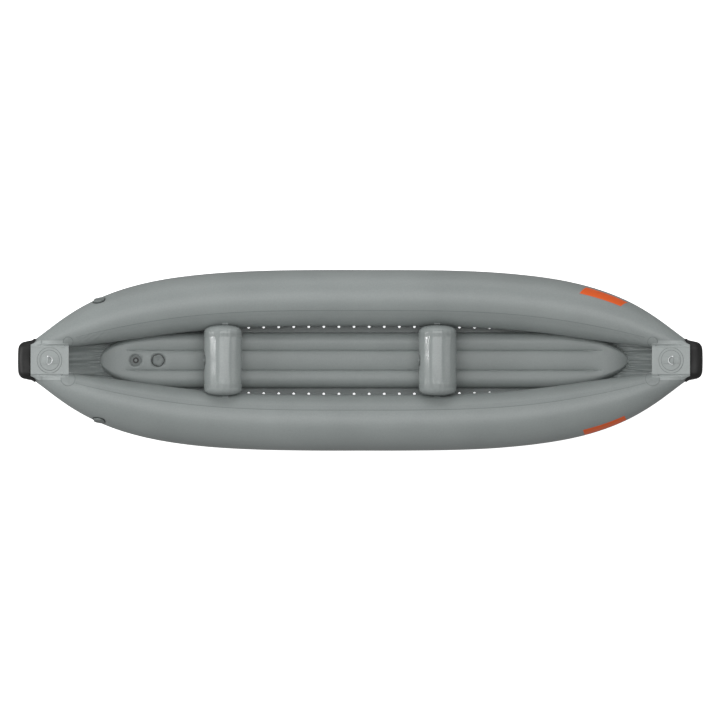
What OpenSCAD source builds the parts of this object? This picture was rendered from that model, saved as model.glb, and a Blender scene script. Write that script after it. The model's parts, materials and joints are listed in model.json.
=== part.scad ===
// Two-seat inflatable kayak: two diminishing side tubes, a self-bailing I-beam floor,
// end caps, deck panels with tow rings, two inflated thwarts and six valves.
// Millimetres. +X is the bow, +Y is port, +Z is up. The origin is on the ground under the middle.

/* [Hull] */
// Length over the end caps
hull_length = 3810; // [3200:10:4400]
// Distance between the side tubes' centrelines amidships
tube_spacing = 694; // [620:2:800]
// Diameter of a side tube amidships
tube_d = 312; // [270:2:320]
// Diameter of a side tube at its tip
tip_d = 66; // [56:2:80]
// Distance between the side tubes' centrelines at the tips
tip_spacing = 110; // [96:2:130]
// How far the tubes' centrelines rise from amidships to the tips
rocker_rise = 250; // [150:5:320]
// Length amidships that lies flat on the ground
rocker_flat = 1200; // [800:10:1500]
// Fullness of the hull in plan: higher is fuller towards the ends
plan_fullness = 3.36; // [2.8:0.02:4]
// How abruptly the tubes thin out towards their tips
taper_onset = 8; // [6:0.5:10]
// Curve of the thinning: higher is a longer slender tip
taper_curve = 2.7; // [2:0.1:3.2]

/* [Floor] */
// Width of the floor
floor_w = 311; // [280:1:330]
// Thickness of the floor over its chambers' crowns
floor_t = 110; // [90:1:120]
// Height of the floor's underside above the ground
floor_lift = 8; // [4:1:14]
// Distance from the stern end of the hull to the floor
floor_from_stern = 459; // [440:1:520]
// Distance from the bow end of the hull to the floor
floor_from_bow = 416; // [410:1:520]
// Distance between the two I-beams
beam_spacing = 110; // [96:1:120]
// Height of an I-beam
beam_h = 84; // [60:1:88]
// Thickness of an I-beam's web
beam_t = 1.6; // [1:0.1:3]
// Distance from the floor's ends to the I-beams
beam_inset = 156; // [140:1:220]
// Thickness of the bailing strips and the bottom sheets
strip_t = 1.6; // [1:0.1:3]
// Diameter of a drain hole
drain_d = 14; // [8:0.5:18]
// Distance between neighbouring drain holes
drain_pitch = 84; // [60:1:120]
// Drain holes in a row
drain_count = 19; // [11:2:21]

/* [Ends] */
// Thickness of an end cap
cap_t = 3.5; // [2:0.5:5]
// Depth of an end cap along the hull, on top
cap_depth = 74; // [60:1:90]
// Depth of an end cap along the hull, at its sides
cap_side_depth = 111; // [95:1:125]
// Length of a deck panel
deck_l = 210; // [190:1:230]
// Width of a deck panel's flat middle
deck_w = 164; // [156:1:176]
// Width of the flange that is glued down each side of a deck panel
flange_w = 28; // [20:1:32]
// Thickness of a deck panel
deck_t = 1.6; // [1:0.1:3]
// Height of a deck panel over the tubes' centrelines at its outer edge
deck_h_outer = 50; // [48:1:56]
// Height of a deck panel over the tubes' centrelines at its inner edge
deck_h_inner = 58; // [57:1:66]
// Diameter of a starboard corner patch
corner_patch_d = 76; // [50:1:84]
// Diameter of a port corner patch
small_corner_patch_d = 52; // [40:1:84]

/* [Tow rings] */
// Diameter of the ring patch
patch_d = 140; // [120:1:150]
// Diameter of the ring patch's upper layer
patch_top_d = 110; // [90:1:118]
// Thickness of each layer of the ring patch
patch_t = 1.4; // [1:0.1:2]
// Diameter of the D-ring's wire
wire_d = 5.5; // [4:0.5:7]
// Outside width of the D-ring
ring_w = 50; // [46:1:56]
// Distance from the D-ring's bar to the start of its curve
ring_leg = 4; // [2:0.5:10]
// Width of the strap that holds the D-ring
strap_w = 37; // [30:0.5:38]
// Length of the strap
strap_l = 96; // [80:1:104]
// Thickness of the strap
strap_t = 2; // [1.5:0.1:3]

/* [Thwarts] */
// Diameter of a thwart
thwart_d = 209; // [190:1:220]
// How far a thwart's ends are pressed in by the side tubes
thwart_press = 6; // [2:0.5:12]
// Depth of a thwart's domed end
thwart_dome = 45; // [35:1:60]
// Place of the rear thwart along the hull
rear_thwart_x = -764; // [-800:1:-700]
// Place of the front thwart along the hull
front_thwart_x = 430; // [380:1:500]
// Width of a thwart's seam band
band_w = 20; // [12:1:28]
// Thickness of a seam band, a seam tape or a flash
tape_t = 1; // [0.6:0.1:1.5]
// Width of the strap that ties a thwart's end to a tube
tie_w = 33; // [25:1:45]
// Thickness of that strap
tie_t = 2.2; // [1.5:0.1:3]
// Width of the seam tape along a tube
seam_tape_w = 26; // [16:1:36]
// Place of the seam tape round a tube, in degrees inboard of its top
seam_angle = 32; // [24:1:40]
// Length of the coloured flash on each tube
flash_l = 240; // [180:5:280]
// Height of the flash round the tube
flash_h = 62; // [50:1:74]
// Distance from the bow end to the flashes' middle
flash_from_bow = 535; // [500:5:650]

/* [Inflation valves] */
// Diameter of a valve's flange
valve_flange_d = 74; // [70:1:78]
// Thickness of the flange
valve_flange_t = 3; // [2.5:0.5:4]
// Outer diameter of the valve's barrel
barrel_d = 46; // [44:0.5:48]
// Bore of the barrel
barrel_bore = 38; // [36:0.5:39]
// Length of the barrel under the flange
barrel_l = 26; // [24:1:32]
// Diameter of the collar that the cap closes over
collar_d = 50; // [47:0.5:52]
// Height of the collar over the flange
collar_h = 6; // [5:0.5:8]
// Diameter of the plunger's stem
stem_d = 6; // [5:0.5:7]
// Radial running clearance of the stem in its guide
stem_gap = 0.08; // [0.05:0.01:0.1]
// Travel of the plunger
plunger_travel = 5; // [3:0.5:6]
// Diameter over the cap's lobes
valve_cap_d = 63; // [60:0.5:66]
// Height of the cap
valve_cap_h = 10; // [9.5:0.5:14]
// Diameter of the back nut
nut_d = 68; // [60:1:69]
// Thickness of the back nut
nut_t = 6; // [4:0.5:8]
// Distance from the stern end to the side tubes' valves
tube_valve_from_stern = 475; // [425:1:555]
// Place of the side tubes' valves round the tube, in degrees above its outer side
tube_valve_angle = 20; // [10:1:35]
// Distance from the floor's stern end to its inflation valve
floor_valve_inset = 314; // [296:1:366]

/* [Relief valve] */
// Distance from the floor's stern end to the relief valve
relief_inset = 189; // [184:1:210]
// Diameter of the relief valve's flange
relief_d = 64; // [60:1:68]
// Diameter of its poppet
poppet_d = 33; // [28:0.5:34]
// Diameter of the poppet's button
button_d = 16; // [12:0.5:20]
// Notches round the flange
relief_notches = 6; // [4:1:8]
// Length of the relief valve's barrel
relief_barrel_l = 20; // [18:1:24]

/* [Hidden] */
$fn = 48;
seat_gap = 0.4;         // between a soft piece and the curved skin it lies on
cap_gap = 1.3;          // between an end cap and the tubes' tips
edge_gap = 0.9;         // between the floor's rounded edge and the sheet that joins it
face_gap = 0.2;         // between two flat pieces that are glued or screwed together
keel_flat = 1;          // how far the ground flattens a side tube
half_l = hull_length / 2;
tube_r = tube_d / 2;
tip_r = tip_d / 2;
tip_aim = 14;           // half spacing that the open plan curve would reach at the tip
tip_blend = 6;          // sharpness of the change from the plan curve to the tips' spacing
tube_sides = 32;
tube_rings = 24;        // rings in each half of a tube
tip_dome = 33;          // length of a tube's rounded tip
nose_lean = 4;          // the sloping nose reaches this far past the centrelines' ends
tube_end = half_l - cap_t - cap_gap - nose_lean;
floor_x0 = floor_from_stern - half_l;
floor_x1 = half_l - floor_from_bow;
floor_mid_z = floor_lift + floor_t / 2;
floor_valve_x = floor_x0 + floor_valve_inset;
relief_x = floor_x0 + relief_inset;
tube_valve_x = tube_valve_from_stern - half_l;
flash_x = half_l - flash_from_bow;
strip_angle = 180 + asin((tube_r - keel_flat - floor_mid_z) / tube_r);
sheet_inset = 150;      // distance from a floor's end to where its bottom sheet starts
sheet_end = half_l - 60;
drain_middle = -35;     // where the rows of drain holes are centred along the hull
thwart_rest = 0.5;      // between a thwart and the floor that carries it
thwart_r = thwart_d / 2;
thwart_l = tube_spacing - tube_d + 2 * thwart_press;
socket_floor = barrel_l + plunger_travel + 9;   // depth of the room for a valve inside an air chamber
skin_t = 2;             // the skin gripped between a valve's flange and its back nut
valve_sink = 7;         // how far a valve's flange is let into a curved skin
floor_valve_sink = 10;
thwart_valve_sink = 8;
deck_x = half_l - 72 - deck_l / 2;              // middle of a deck panel
deck_cover = cap_t + cap_gap;                     // the deck's flange rises this much over the end cap

VALVES = ["port_tube_valve", "starboard_tube_valve", "floor_valve", "rear_thwart_valve", "front_thwart_valve"];
VALVE_PIECES = ["body", "plunger", "spring", "cap"];
ENDS = ["bow", "stern"];
END_PIECES = ["end_cap", "deck_panel", "corner_patches", "ring_patch", "ring_strap", "d_ring", "bottom_sheet"];
SIDES = ["port", "starboard"];
SIDE_PIECES = ["tube", "seam_tape", "flash", "i_beam", "bailing_strip"];
THWARTS = ["rear", "front"];
THWART_PIECES = ["thwart", "thwart_bands", "thwart_ties"];
OTHERS = ["floor", "valve_back_nuts", "relief_body", "relief_poppet", "relief_button", "relief_spring",
          "relief_back_nut"];

grey = "#8f9695";
pale_grey = "#a2a8a7";
black = "#262626";
orange = "#e8641f";
steel = "#c8cccf";

// ---------- the hull's lines, for a distance s from amidships ----------
function share(s) = min(abs(s) / half_l, 1);
function open_spread(s) =
    tip_aim + (tube_spacing / 2 - tip_aim) * (1 - pow(share(s), plan_fullness));
function spread(s) =
    pow(pow(open_spread(s), tip_blend) + pow(tip_spacing / 2, tip_blend), 1 / tip_blend);
function tube_radius(s) = tip_r + (tube_r - tip_r) * pow(1 - pow(share(s), taper_onset), taper_curve);
function rise(s) = rocker_rise * pow(max(0, abs(s) - rocker_flat / 2) / (half_l - rocker_flat / 2), 2);
function line_z(s) = tube_r - keel_flat + rise(s);
function slope_y(s) = (spread(s + 1) - spread(s - 1)) / 2;
function slope_z(s) = (rise(s + 1) - rise(s - 1)) / 2;
function unit(v) = v / norm(v);
function tangent(s) = unit([1, slope_y(s), slope_z(s)]);
function outward(s) = unit([-slope_y(s), 1, 0]);
function upward(s) = cross(tangent(s), outward(s));
function line_point(s) = [s, spread(s), line_z(s)];
// Radius at s, with the rounded tip
function skin_radius(s) =
    let(into = max(0, abs(s) - (tube_end - tip_dome)) / tip_dome)
    tube_radius(s) * sqrt(max(0, 1 - into * into));
// A direction round the port tube: 0 is outboard, 90 is up, 180 is inboard
function around(s, a) = cos(a) * outward(s) + sin(a) * upward(s);
// A point on the port tube's skin, or off it by a clearance
function skin(s, a, off = 0) = line_point(s) + (skin_radius(s) + off) * around(s, a);
function flattened(p) = [p[0], p[1], max(0, p[2])];
function mirrored(p) = [p[0], -p[1], p[2]];

// Height of the port tube's upper skin over a point of the plan, for the bow half
function station_over(x, y, s, h, k) =
    let(
        m = norm([slope_y(s), 1]),
        n = norm([1, slope_y(s), slope_z(s)]),
        c = m * (y - spread(s)) + h * slope_z(s) * slope_y(s) / n,
        up = sqrt(max(1, pow(tube_radius(s), 2) - c * c))
    )
    k == 0 ? [s, up * m / n] : station_over(x, y, x + c * slope_y(s) / m + up * slope_z(s) / (n * m), up, k - 1);

// ---------- lofting ----------
// Closes a stack of rings into a solid; each ring runs the same way round
module loft(rings) {
    n = len(rings[0]);
    last = len(rings) - 1;
    points = [for (r = rings) each r];
    sides = [for (i = [0:last - 1]) for (j = [0:n - 1])
        each [[i * n + j, i * n + (j + 1) % n, (i + 1) * n + (j + 1) % n],
              [i * n + j, (i + 1) * n + (j + 1) % n, (i + 1) * n + j]]];
    first_face = [for (j = [n - 1:-1:0]) j];
    last_face = [for (j = [0:n - 1]) last * n + j];
    polyhedron(points, concat(sides, [first_face, last_face]), convexity = 8);
}
// A thin sheet from two matching grids of points, upper and lower, as one loft of flat rings
module sheet(upper, lower) {
    loft([for (i = [0:len(upper) - 1])
        concat(upper[i], [for (j = [len(lower[i]) - 1:-1:0]) lower[i][j]])]);
}
function lowered(grid, t) = [for (row = grid) [for (p = row) p - [0, 0, t]]];

// ---------- side tubes ----------
// Rings lie closer together towards the tips
function ring_x(i, n) = (tube_end - 0.6) * sin(90 * i / n);

module tube_form() {
    loft([for (i = [-tube_rings:tube_rings])
        let(s = ring_x(i, tube_rings))
        [for (j = [0:tube_sides - 1]) flattened(skin(s, 360 * (j + 0.5) / tube_sides))]]);
}

// A frame on a skin: x along it, z out of it
module on_frame(origin, along, out) {
    side = cross(out, along);
    multmatrix([
        [along[0], side[0], out[0], origin[0]],
        [along[1], side[1], out[1], origin[1]],
        [along[2], side[2], out[2], origin[2]]]) children();
}

module on_tube_valve() {
    s = tube_valve_x;
    a = tube_valve_angle;
    on_frame(skin(s, a, -valve_sink), tangent(s), around(s, a)) children();
}

module port_side(side) {
    if (side == "port") children();
    else mirror([0, 1, 0]) children();
}

module tube() {
    color(grey) difference() {
        tube_form();
        on_tube_valve() valve_socket(valve_flange_d, barrel_d, valve_sink);
    }
}

// A band that lies on the port tube between two angles, at stations from a list
module tube_band(stations, a0, a1, steps, off, t) {
    loft([for (s = stations) concat(
        [for (j = [0:steps]) skin(s, a0 + (a1 - a0) * j / steps, off)],
        [for (j = [steps:-1:0]) skin(s, a0 + (a1 - a0) * j / steps, off + t)])]);
}

module seam_tape() {
    turn = seam_tape_w / tube_r * 90 / PI;
    rings = [for (i = [-tube_rings:tube_rings]) ring_x(i, tube_rings)];
    color(grey) tube_band([for (s = rings) if (abs(s) < half_l - 290) s],
        90 + seam_angle - turn, 90 + seam_angle + turn, 2, seat_gap + 0.1, tape_t);
}

module flash(a_low) {
    r = tube_radius(flash_x);
    turn = flash_h / r * 180 / PI;
    steps = 6;
    // The ends lean so that the flash is a parallelogram
    lean = 16;
    rows = [for (i = [0:steps]) a_low + turn * i / steps];
    upper = [for (i = [0:8]) [for (j = [0:steps])
        skin(flash_x + flash_l * (i / 8 - 0.5) - lean * (j / steps - 0.5), rows[j], seat_gap + tape_t)]];
    under = [for (i = [0:8]) [for (j = [0:steps])
        skin(flash_x + flash_l * (i / 8 - 0.5) - lean * (j / steps - 0.5), rows[j], seat_gap)]];
    color(orange) sheet(under, upper);
}

// ---------- floor ----------
function end_distance(x) = min(x - floor_x0, floor_x1 - x);
function end_round(x) = x > 0 ? 420 : 360;     // length of the rounding in plan
function end_power(x) = x > 0 ? 0.56 : 0.5;     // 0.5 is an ellipse, more is more pointed
function floor_half_w(x) =
    let(q = max(0, 1 - end_distance(x) / end_round(x)))
    floor_w / 2 * pow(1 - q * q, end_power(x));
function floor_half_t(x) =
    let(q = max(0, 1 - end_distance(x) / floor_t)) floor_t / 2 * sqrt(1 - q * q);
function groove(x) =
    (1 - beam_h / floor_t) * min(1, max(0, (end_distance(x) - 0.8 * beam_inset) / (0.5 * beam_inset)));
function floor_out(x) = unit([-slope_z(abs(x)) * sign(x), 0, 1]);
function floor_line(x) = [x, 0, floor_mid_z + rise(x)];

// Half of one face of the floor's section, from the middle to the edge, as [y, height share]
function floor_profile(x) =
    let(w = floor_half_w(x), seam = min(beam_spacing / 2, w / 2), g = groove(x), crown = 0.45)
    concat(
        [for (a = [0:22.5:90]) [seam * sin(a), 1 - g + g * cos(a)]],
        [for (b = [30:30:90]) [seam + (w - seam) * crown * (1 - cos(b)), 1 - g + g * sin(b)]],
        [for (c = [22.5:22.5:90]) [seam + (w - seam) * (crown + (1 - crown) * sin(c)), cos(c)]]);

function floor_ring(x) =
    let(half = floor_profile(x), t = floor_half_t(x), n = len(half), c = floor_line(x), out = floor_out(x))
    concat(
        [for (i = [n - 1:-1:0]) c + [0, half[i][0], 0] + t * half[i][1] * out],
        [for (i = [1:n - 1]) c + [0, -half[i][0], 0] + t * half[i][1] * out],
        [for (i = [n - 2:-1:0]) c + [0, -half[i][0], 0] - t * half[i][1] * out],
        [for (i = [1:n - 2]) c + [0, half[i][0], 0] - t * half[i][1] * out]);

module floor_form() {
    steps = 19;
    mid = (floor_x0 + floor_x1) / 2;
    reach = (floor_x1 - floor_x0) / 2;
    loft([for (i = [-steps:steps]) floor_ring(mid + (reach - 0.4) * sin(90 * i / steps))]);
}

module beam_slab() {
    translate([floor_x0 + beam_inset, beam_spacing / 2 - beam_t / 2, 0])
        cube([floor_x1 - floor_x0 - 2 * beam_inset, beam_t, tube_d + rocker_rise]);
}

// A frame on the floor's upper crown
module on_floor(x, sink) {
    out = floor_out(x);
    on_frame(floor_line(x) + (floor_half_t(x) - sink) * out, cross([0, 1, 0], out), out) children();
}

module air_floor() {
    color(grey) difference() {
        floor_form();
        beam_slab();
        mirror([0, 1, 0]) beam_slab();
        on_floor(floor_valve_x, floor_valve_sink) valve_socket(valve_flange_d, barrel_d, floor_valve_sink);
        on_floor(relief_x, floor_valve_sink) valve_socket(relief_d, barrel_d, floor_valve_sink);
    }
}

module i_beam() {
    color(pale_grey) intersection() {
        floor_form();
        beam_slab();
    }
}

// Where the floor's edge and the bailing strip meet, and where the strip meets the tube
function floor_edge(x) = floor_line(x) + [0, floor_half_w(x) + edge_gap, 0];
function strip_foot(s) = skin(s, strip_angle, 2 * seat_gap);

module bailing_strip() {
    x0 = floor_x0 + sheet_inset + seat_gap;
    x1 = floor_x1 - sheet_inset - seat_gap;
    steps = 60;
    rows = [for (i = [0:steps]) let(x = x0 + (x1 - x0) * i / steps) [floor_edge(x), strip_foot(x)]];
    color(grey) difference() {
        translate([0, 0, strip_t / 2]) sheet(rows, lowered(rows, strip_t));
        for (i = [0:drain_count - 1]) {
            x = (i - (drain_count - 1) / 2) * drain_pitch + drain_middle;
            translate([x, (floor_edge(x)[1] + strip_foot(x)[1]) / 2, 0]) cylinder(d = drain_d, h = 3 * floor_mid_z);
        }
    }
}

// The fabric that closes the hull between the floor's rounded end and the tubes
module bottom_sheet(bow) {
    tip = bow ? floor_x1 : -floor_x0;
    turn = 0.2;
    across = 20;
    deep = 4;
    reach = end_round(bow ? 1 : -1);
    spread_angle = acos(1 - sheet_inset / reach);
    function inner(u) =
        let(
            a = spread_angle * u,
            x = tip - reach + (reach + edge_gap) * cos(a),
            y = sign(u) * (floor_w / 2 + edge_gap) * pow(sin(abs(a)), 2 * end_power(bow ? 1 : -1))
        )
        [x, y, floor_mid_z + rise(x)];
    function outer(u) =
        let(
            s = sheet_end - (sheet_end - (tip - sheet_inset)) * max(0, (abs(u) - turn) / (1 - turn)),
            p = strip_foot(s),
            y = abs(u) < turn ? p[1] * u / turn : p[1] * sign(u)
        )
        [p[0], y, p[2]];
    rows = [for (i = [-across:across]) let(u = i / across)
        [for (j = [0:deep]) inner(u) + (outer(u) - inner(u)) * j / deep]];
    color(grey) scale_to_end(bow)
        translate([0, 0, strip_t / 2]) sheet(rows, lowered(rows, strip_t));
}

// The stern pieces are the bow's, mirrored fore and aft
module scale_to_end(bow) {
    if (bow) children();
    else mirror([1, 0, 0]) children();
}

// ---------- end caps, deck panels and tow rings ----------
// A point on a cap: round the outer half of each tube, and drawn in a little between the two
function cap_point(s, a, off, shrink = 1, pinch = 1) =
    let(
        middle = abs(cos(a)) < 0.01,
        lean = [for (v = around(s, cos(a) < 0 ? 180 - a : a)) v],
        r = (tube_radius(s) + off) * shrink,
        y = middle ? 0 : spread(s) * pinch + r * lean[1]
    )
    [s + r * lean[0], cos(a) < 0 ? -y : y, line_z(s) + r * lean[2] * (middle ? 0.9 : 1)];
function cap_depth_at(a) =
    cap_depth + (cap_side_depth - cap_depth) * min(1, 1.6 * pow(abs(cos(a)), 3));

module end_cap() {
    angles = concat([for (a = [0:15:75]) a], [88, 90, 92], [for (a = [105:15:255]) a], [268, 270, 272],
        [for (a = [285:15:345]) a]);
    base = tube_end - tip_dome;
    steps = 6;
    nose_blunt = 0.75;  // below 1 the nose is fuller than a dome
    nose_flat = 0.12;   // share of the tip's height that stays flat at the very end
    nose_pinch = 0.06;  // how much the nose draws in between the sides
    // The nose is rounded towards the tip
    function nose_point(a, k, off) =
        let(
            q = 90 * k / steps,
            shrink = max(nose_flat, pow(cos(q), nose_blunt))
        )
        cap_point(base + tip_dome * sin(q), a, off, shrink, 1 - nose_pinch * pow(sin(q), 6))
            + [off * sin(q), 0, 0];
    function body_point(a, k, off) =
        cap_point(base - (cap_depth_at(a) - (half_l - base)) * (1 - k / 4), a, off);
    outside = cap_gap + cap_t;
    color(black) loft(concat(
        [for (k = [steps:-1:0]) [for (a = angles) nose_point(a, k, cap_gap)]],
        [for (k = [3:-1:0]) [for (a = angles) body_point(a, k, cap_gap)]],
        [for (k = [0:3]) [for (a = angles) body_point(a, k, outside)]],
        [for (k = [0:steps]) [for (a = angles) nose_point(a, k, outside)]]));
}

// The deck's plane, and how it tilts
deck_z0 = line_z(deck_x - deck_l / 2) + deck_h_inner;
deck_z1 = line_z(deck_x + deck_l / 2) + deck_h_outer;
deck_tilt = atan((deck_z1 - deck_z0) / deck_l);
deck_mid_z = (deck_z0 + deck_z1) / 2;
function deck_plane(x) = deck_mid_z + (x - deck_x) * tan(deck_tilt);
function over_cap(x) = x > half_l - cap_side_depth - 20 ? deck_cover : 0;
fold_w = flange_w / 4;  // over this width the deck comes down onto the tube
steep_share = 0.72;     // share of a tube's radius, past which its skin is too steep for the flange
function flange_end(x) = min(deck_w / 2 + flange_w, spread(x) + steep_share * tube_radius(x));
// Height of the deck panel's underside over a point of the plan
function deck_under(x, y) =
    let(f = station_over(x, y, x, 0, 8), steep = tube_radius(f[0]) / f[1])
    y <= deck_w / 2 ? deck_plane(x)
    : let(
        laid = line_z(f[0]) + f[1] + (2 * seat_gap + over_cap(x)) * steep,
        down = min(1, (y - deck_w / 2) / fold_w)
    )
    max(laid, deck_plane(x) * (1 - down) + laid * down);

module deck_panel() {
    shares = [1, 0.75, 0.5, 0.25];
    steps = 12;
    function row(x) =
        let(
            edge = deck_w / 2,
            flange = [for (k = shares) edge + k * (max(edge + 4, flange_end(x)) - edge)],
            half = concat(flange, [edge, edge / 2]),
            ys = concat(half, [0], [for (i = [len(half) - 1:-1:0]) -half[i]])
        )
        [for (y = ys) [x, y, deck_under(x, abs(y)) + deck_t]];
    rows = [for (i = [0:steps]) row(deck_x + deck_l * (i / steps - 0.5))];
    color(pale_grey) sheet(rows, lowered(rows, deck_t));
}

// A round patch over a corner of a deck panel and the skin beside it
module corner_patch(d) {
    cx = deck_x - deck_l / 2 + 2;
    cy = deck_w / 2 + 20;
    lift = deck_t + 2.4;
    t = 1.2;
    rings = 3;
    sides = 16;
    function top(r, a) = let(x = cx + r * cos(a), y = cy + r * sin(a)) [x, y, deck_under(x, y) + lift];
    upper = [for (k = [0:rings]) [for (j = [0:sides - 1]) top(d / 2 * max(0.05, k / rings), 360 * j / sides)]];
    color(grey) loft(concat(
        [for (k = [0:rings]) upper[k]],
        [for (k = [rings:-1:0]) [for (p = upper[k]) p + [0, 0, t]]]));
}

module on_deck() {
    translate([deck_x, 0, deck_mid_z + deck_t]) rotate([0, -deck_tilt, 0]) children();
}

ring_r = (ring_w - wire_d) / 2;
patch_top = face_gap + 2 * patch_t;
strap_base = patch_top + face_gap;
bar_z = strap_base + strap_t + seat_gap + wire_d / 2;
bar_x = ring_leg / 2 + ring_r / 2;

module ring_patch() {
    color(pale_grey) on_deck() {
        translate([0, 0, face_gap]) cylinder(d = patch_d, h = patch_t, $fn = 72);
        translate([0, 0, face_gap + patch_t]) cylinder(d = patch_top_d, h = patch_t, $fn = 72);
    }
}

module ring_strap() {
    color(grey) on_deck() difference() {
        union() {
            translate([-strap_l / 2, -strap_w / 2, strap_base]) cube([strap_l, strap_w, strap_t]);
            translate([bar_x, strap_w / 2, bar_z]) rotate([90, 0, 0])
                cylinder(r = wire_d / 2 + strap_t, h = strap_w);
            translate([bar_x - wire_d / 2 - strap_t, -strap_w / 2, strap_base + strap_t / 2])
                cube([wire_d + 2 * strap_t, strap_w, bar_z - strap_base - strap_t / 2]);
        }
        translate([bar_x, strap_w, bar_z]) rotate([90, 0, 0])
            cylinder(r = wire_d / 2 + stem_gap, h = 2 * strap_w);
    }
}

module d_ring() {
    bow_d = wire_d * 0.94;  // the bent part is drawn down a little from the bar
    color(steel) on_deck() translate([bar_x, 0, bar_z]) {
        translate([0, ring_r + wire_d / 2, 0]) rotate([90, 0, 0]) cylinder(d = wire_d, h = 2 * ring_r + wire_d);
        for (side = [-1, 1]) translate([0, side * ring_r, 0]) rotate([0, -90, 0]) cylinder(d = bow_d, h = ring_leg);
        translate([-ring_leg, 0, 0]) rotate([0, 0, 90])
            rotate_extrude(angle = 180) translate([ring_r, 0]) circle(d = bow_d);
    }
}

// ---------- thwarts ----------
thwart_z = floor_mid_z + floor_t / 2 + thwart_rest + thwart_r;
function thwart_height(x) = thwart_z + rise(x);
tie_reach = 10;         // how far a tie shows beyond the thwart's end

// How far the inboard skin of the tube lies from the middle, with room for the tie
function press_y(x, z) =
    let(r = tube_radius(x) + tie_t + 3 * seat_gap + 0.6, h = z - line_z(x))
    abs(h) > r ? 10000 : spread(x) - sqrt(r * r - h * h) * norm([slope_y(x), 1]);

// An inflated cylinder whose domed ends are pressed in where they meet the side tubes
module thwart_form(x0) {
    power = 2 / 2.6;
    straight = thwart_l / 2 - thwart_dome;
    sides = 36;
    dome = [for (q = [0:11.25:78.75]) [pow(cos(q), power), straight + thwart_dome * pow(sin(q), power)]];
    inner_share = [0.3, 0.08];
    profile = concat(dome, [for (k = inner_share) [k, thwart_l / 2 - (k * k) / 2]]);
    n = len(profile);
    function end_point(b, share, y) =
        let(x = x0 + thwart_r * share * cos(b), z = thwart_height(x0) + thwart_r * share * sin(b))
        [x, min(y, press_y(x, z)), z];
    function ring(share, y) = [for (j = [0:sides - 1]) end_point(360 * j / sides, share, y)];
    function far(r) = [for (p = r) mirrored(p)];
    loft(concat(
        [for (i = [n - 1:-1:0]) ring(profile[i][0], profile[i][1])],
        [for (i = [0:n - 1]) far(ring(profile[i][0], profile[i][1]))]));
}

module thwart(x) {
    color(grey) difference() {
        thwart_form(x);
        on_thwart(x) valve_socket(valve_flange_d, barrel_d, thwart_valve_sink);
    }
}

module on_thwart(x) {
    translate([x - thwart_r + thwart_valve_sink, 0, thwart_height(x)]) rotate([0, -90, 0]) children();
}

module thwart_bands(x) {
    color(grey) translate([x, 0, thwart_height(x)]) rotate([90, 0, 0])
        for (side = [-1, 1]) translate([0, 0, side * (thwart_l / 2 - thwart_dome - band_w / 2) - band_w / 2])
            difference() {
                cylinder(r = thwart_r + face_gap + tape_t, h = band_w, $fn = 64);
                translate([0, 0, -1]) cylinder(r = thwart_r + face_gap, h = band_w + 2, $fn = 64);
            }
}

module thwart_ties(x) {
    reach = thwart_l / 2 + tie_reach;
    steps = 10;
    a_top = 180 - acos((spread(x) - reach) / tube_radius(x));
    a_low = 205;        // a tie ends below the tube's inboard side
    turns = [for (j = [0:steps]) a_top + (a_low - a_top) * j / steps];
    inner = tube_radius(x) + 2 * seat_gap;
    section = concat(
        [for (a = turns) inner * [cos(a), sin(a)]],
        [for (j = [steps:-1:0]) (inner + tie_t) * [cos(turns[j]), sin(turns[j])]]);
    color(grey) for (side = SIDES) port_side(side)
        on_frame(line_point(x), outward(x), tangent(x))
            translate([0, 0, -tie_w / 2]) linear_extrude(height = tie_w) polygon(section);
}

// ---------- inflation valves, in a frame whose z = 0 is the underside of the flange ----------
nut_gap = 0.25;         // slack of the back nut on the barrel
disc_t = 4;             // thickness of the plunger's sealing disc
disc_d = 34;            // its diameter
seat_bore = 28;         // opening that the disc closes
hub_top = -10;          // the stem guide's upper and lower faces
hub_bottom = -16;
hub_d = 13;
arm_count = 3;          // arms that carry the guide
arm_w = 3;
arm_step = 0.8;         // how much lower than the guide an arm is at each face
arm_turn = 37;
head_d = 14;            // the plunger's head, which is pushed
head_t = 2.5;
spring_d = 10.5;
spring_wire = 1.1;
spring_turns = 4;

// Room for a valve in an air chamber: the flange's seat, the hole through the skin and the space under it
module valve_socket(flange_d, throat_d, sink) {
    cylinder(d = flange_d + 2 * seat_gap, h = sink + valve_cap_h + barrel_l);
    translate([0, 0, -skin_t - 1]) cylinder(d = throat_d + 2 * seat_gap, h = skin_t + 2);
    translate([0, 0, -socket_floor]) cylinder(d = nut_d + 4, h = socket_floor - skin_t);
}

module valve_body() {
    edge = 1;
    color(pale_grey) {
        rotate_extrude() polygon([
            [barrel_bore / 2, -barrel_l + 4], [barrel_bore / 2, valve_flange_t + collar_h],
            [collar_d / 2 - edge, valve_flange_t + collar_h], [collar_d / 2, valve_flange_t + collar_h - edge],
            [collar_d / 2, valve_flange_t], [valve_flange_d / 2 - edge, valve_flange_t],
            [valve_flange_d / 2, valve_flange_t - edge], [valve_flange_d / 2, face_gap], [barrel_d / 2, face_gap],
            [barrel_d / 2, -barrel_l], [seat_bore / 2, -barrel_l], [seat_bore / 2, -barrel_l + 4]]);
        // The stem guide and its three arms
        difference() {
            union() {
                translate([0, 0, hub_bottom]) cylinder(d = hub_d, h = hub_top - hub_bottom);
                for (i = [0:arm_count - 1]) rotate([0, 0, arm_turn + 360 * i / arm_count])
                    translate([0, -arm_w / 2, hub_bottom + arm_step])
                        cube([barrel_bore / 2 + 1, arm_w, hub_top - hub_bottom - 2 * arm_step]);
            }
            translate([0, 0, hub_bottom - 1]) cylinder(r = stem_d / 2 + stem_gap, h = hub_top - hub_bottom + 2);
        }
    }
}

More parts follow.
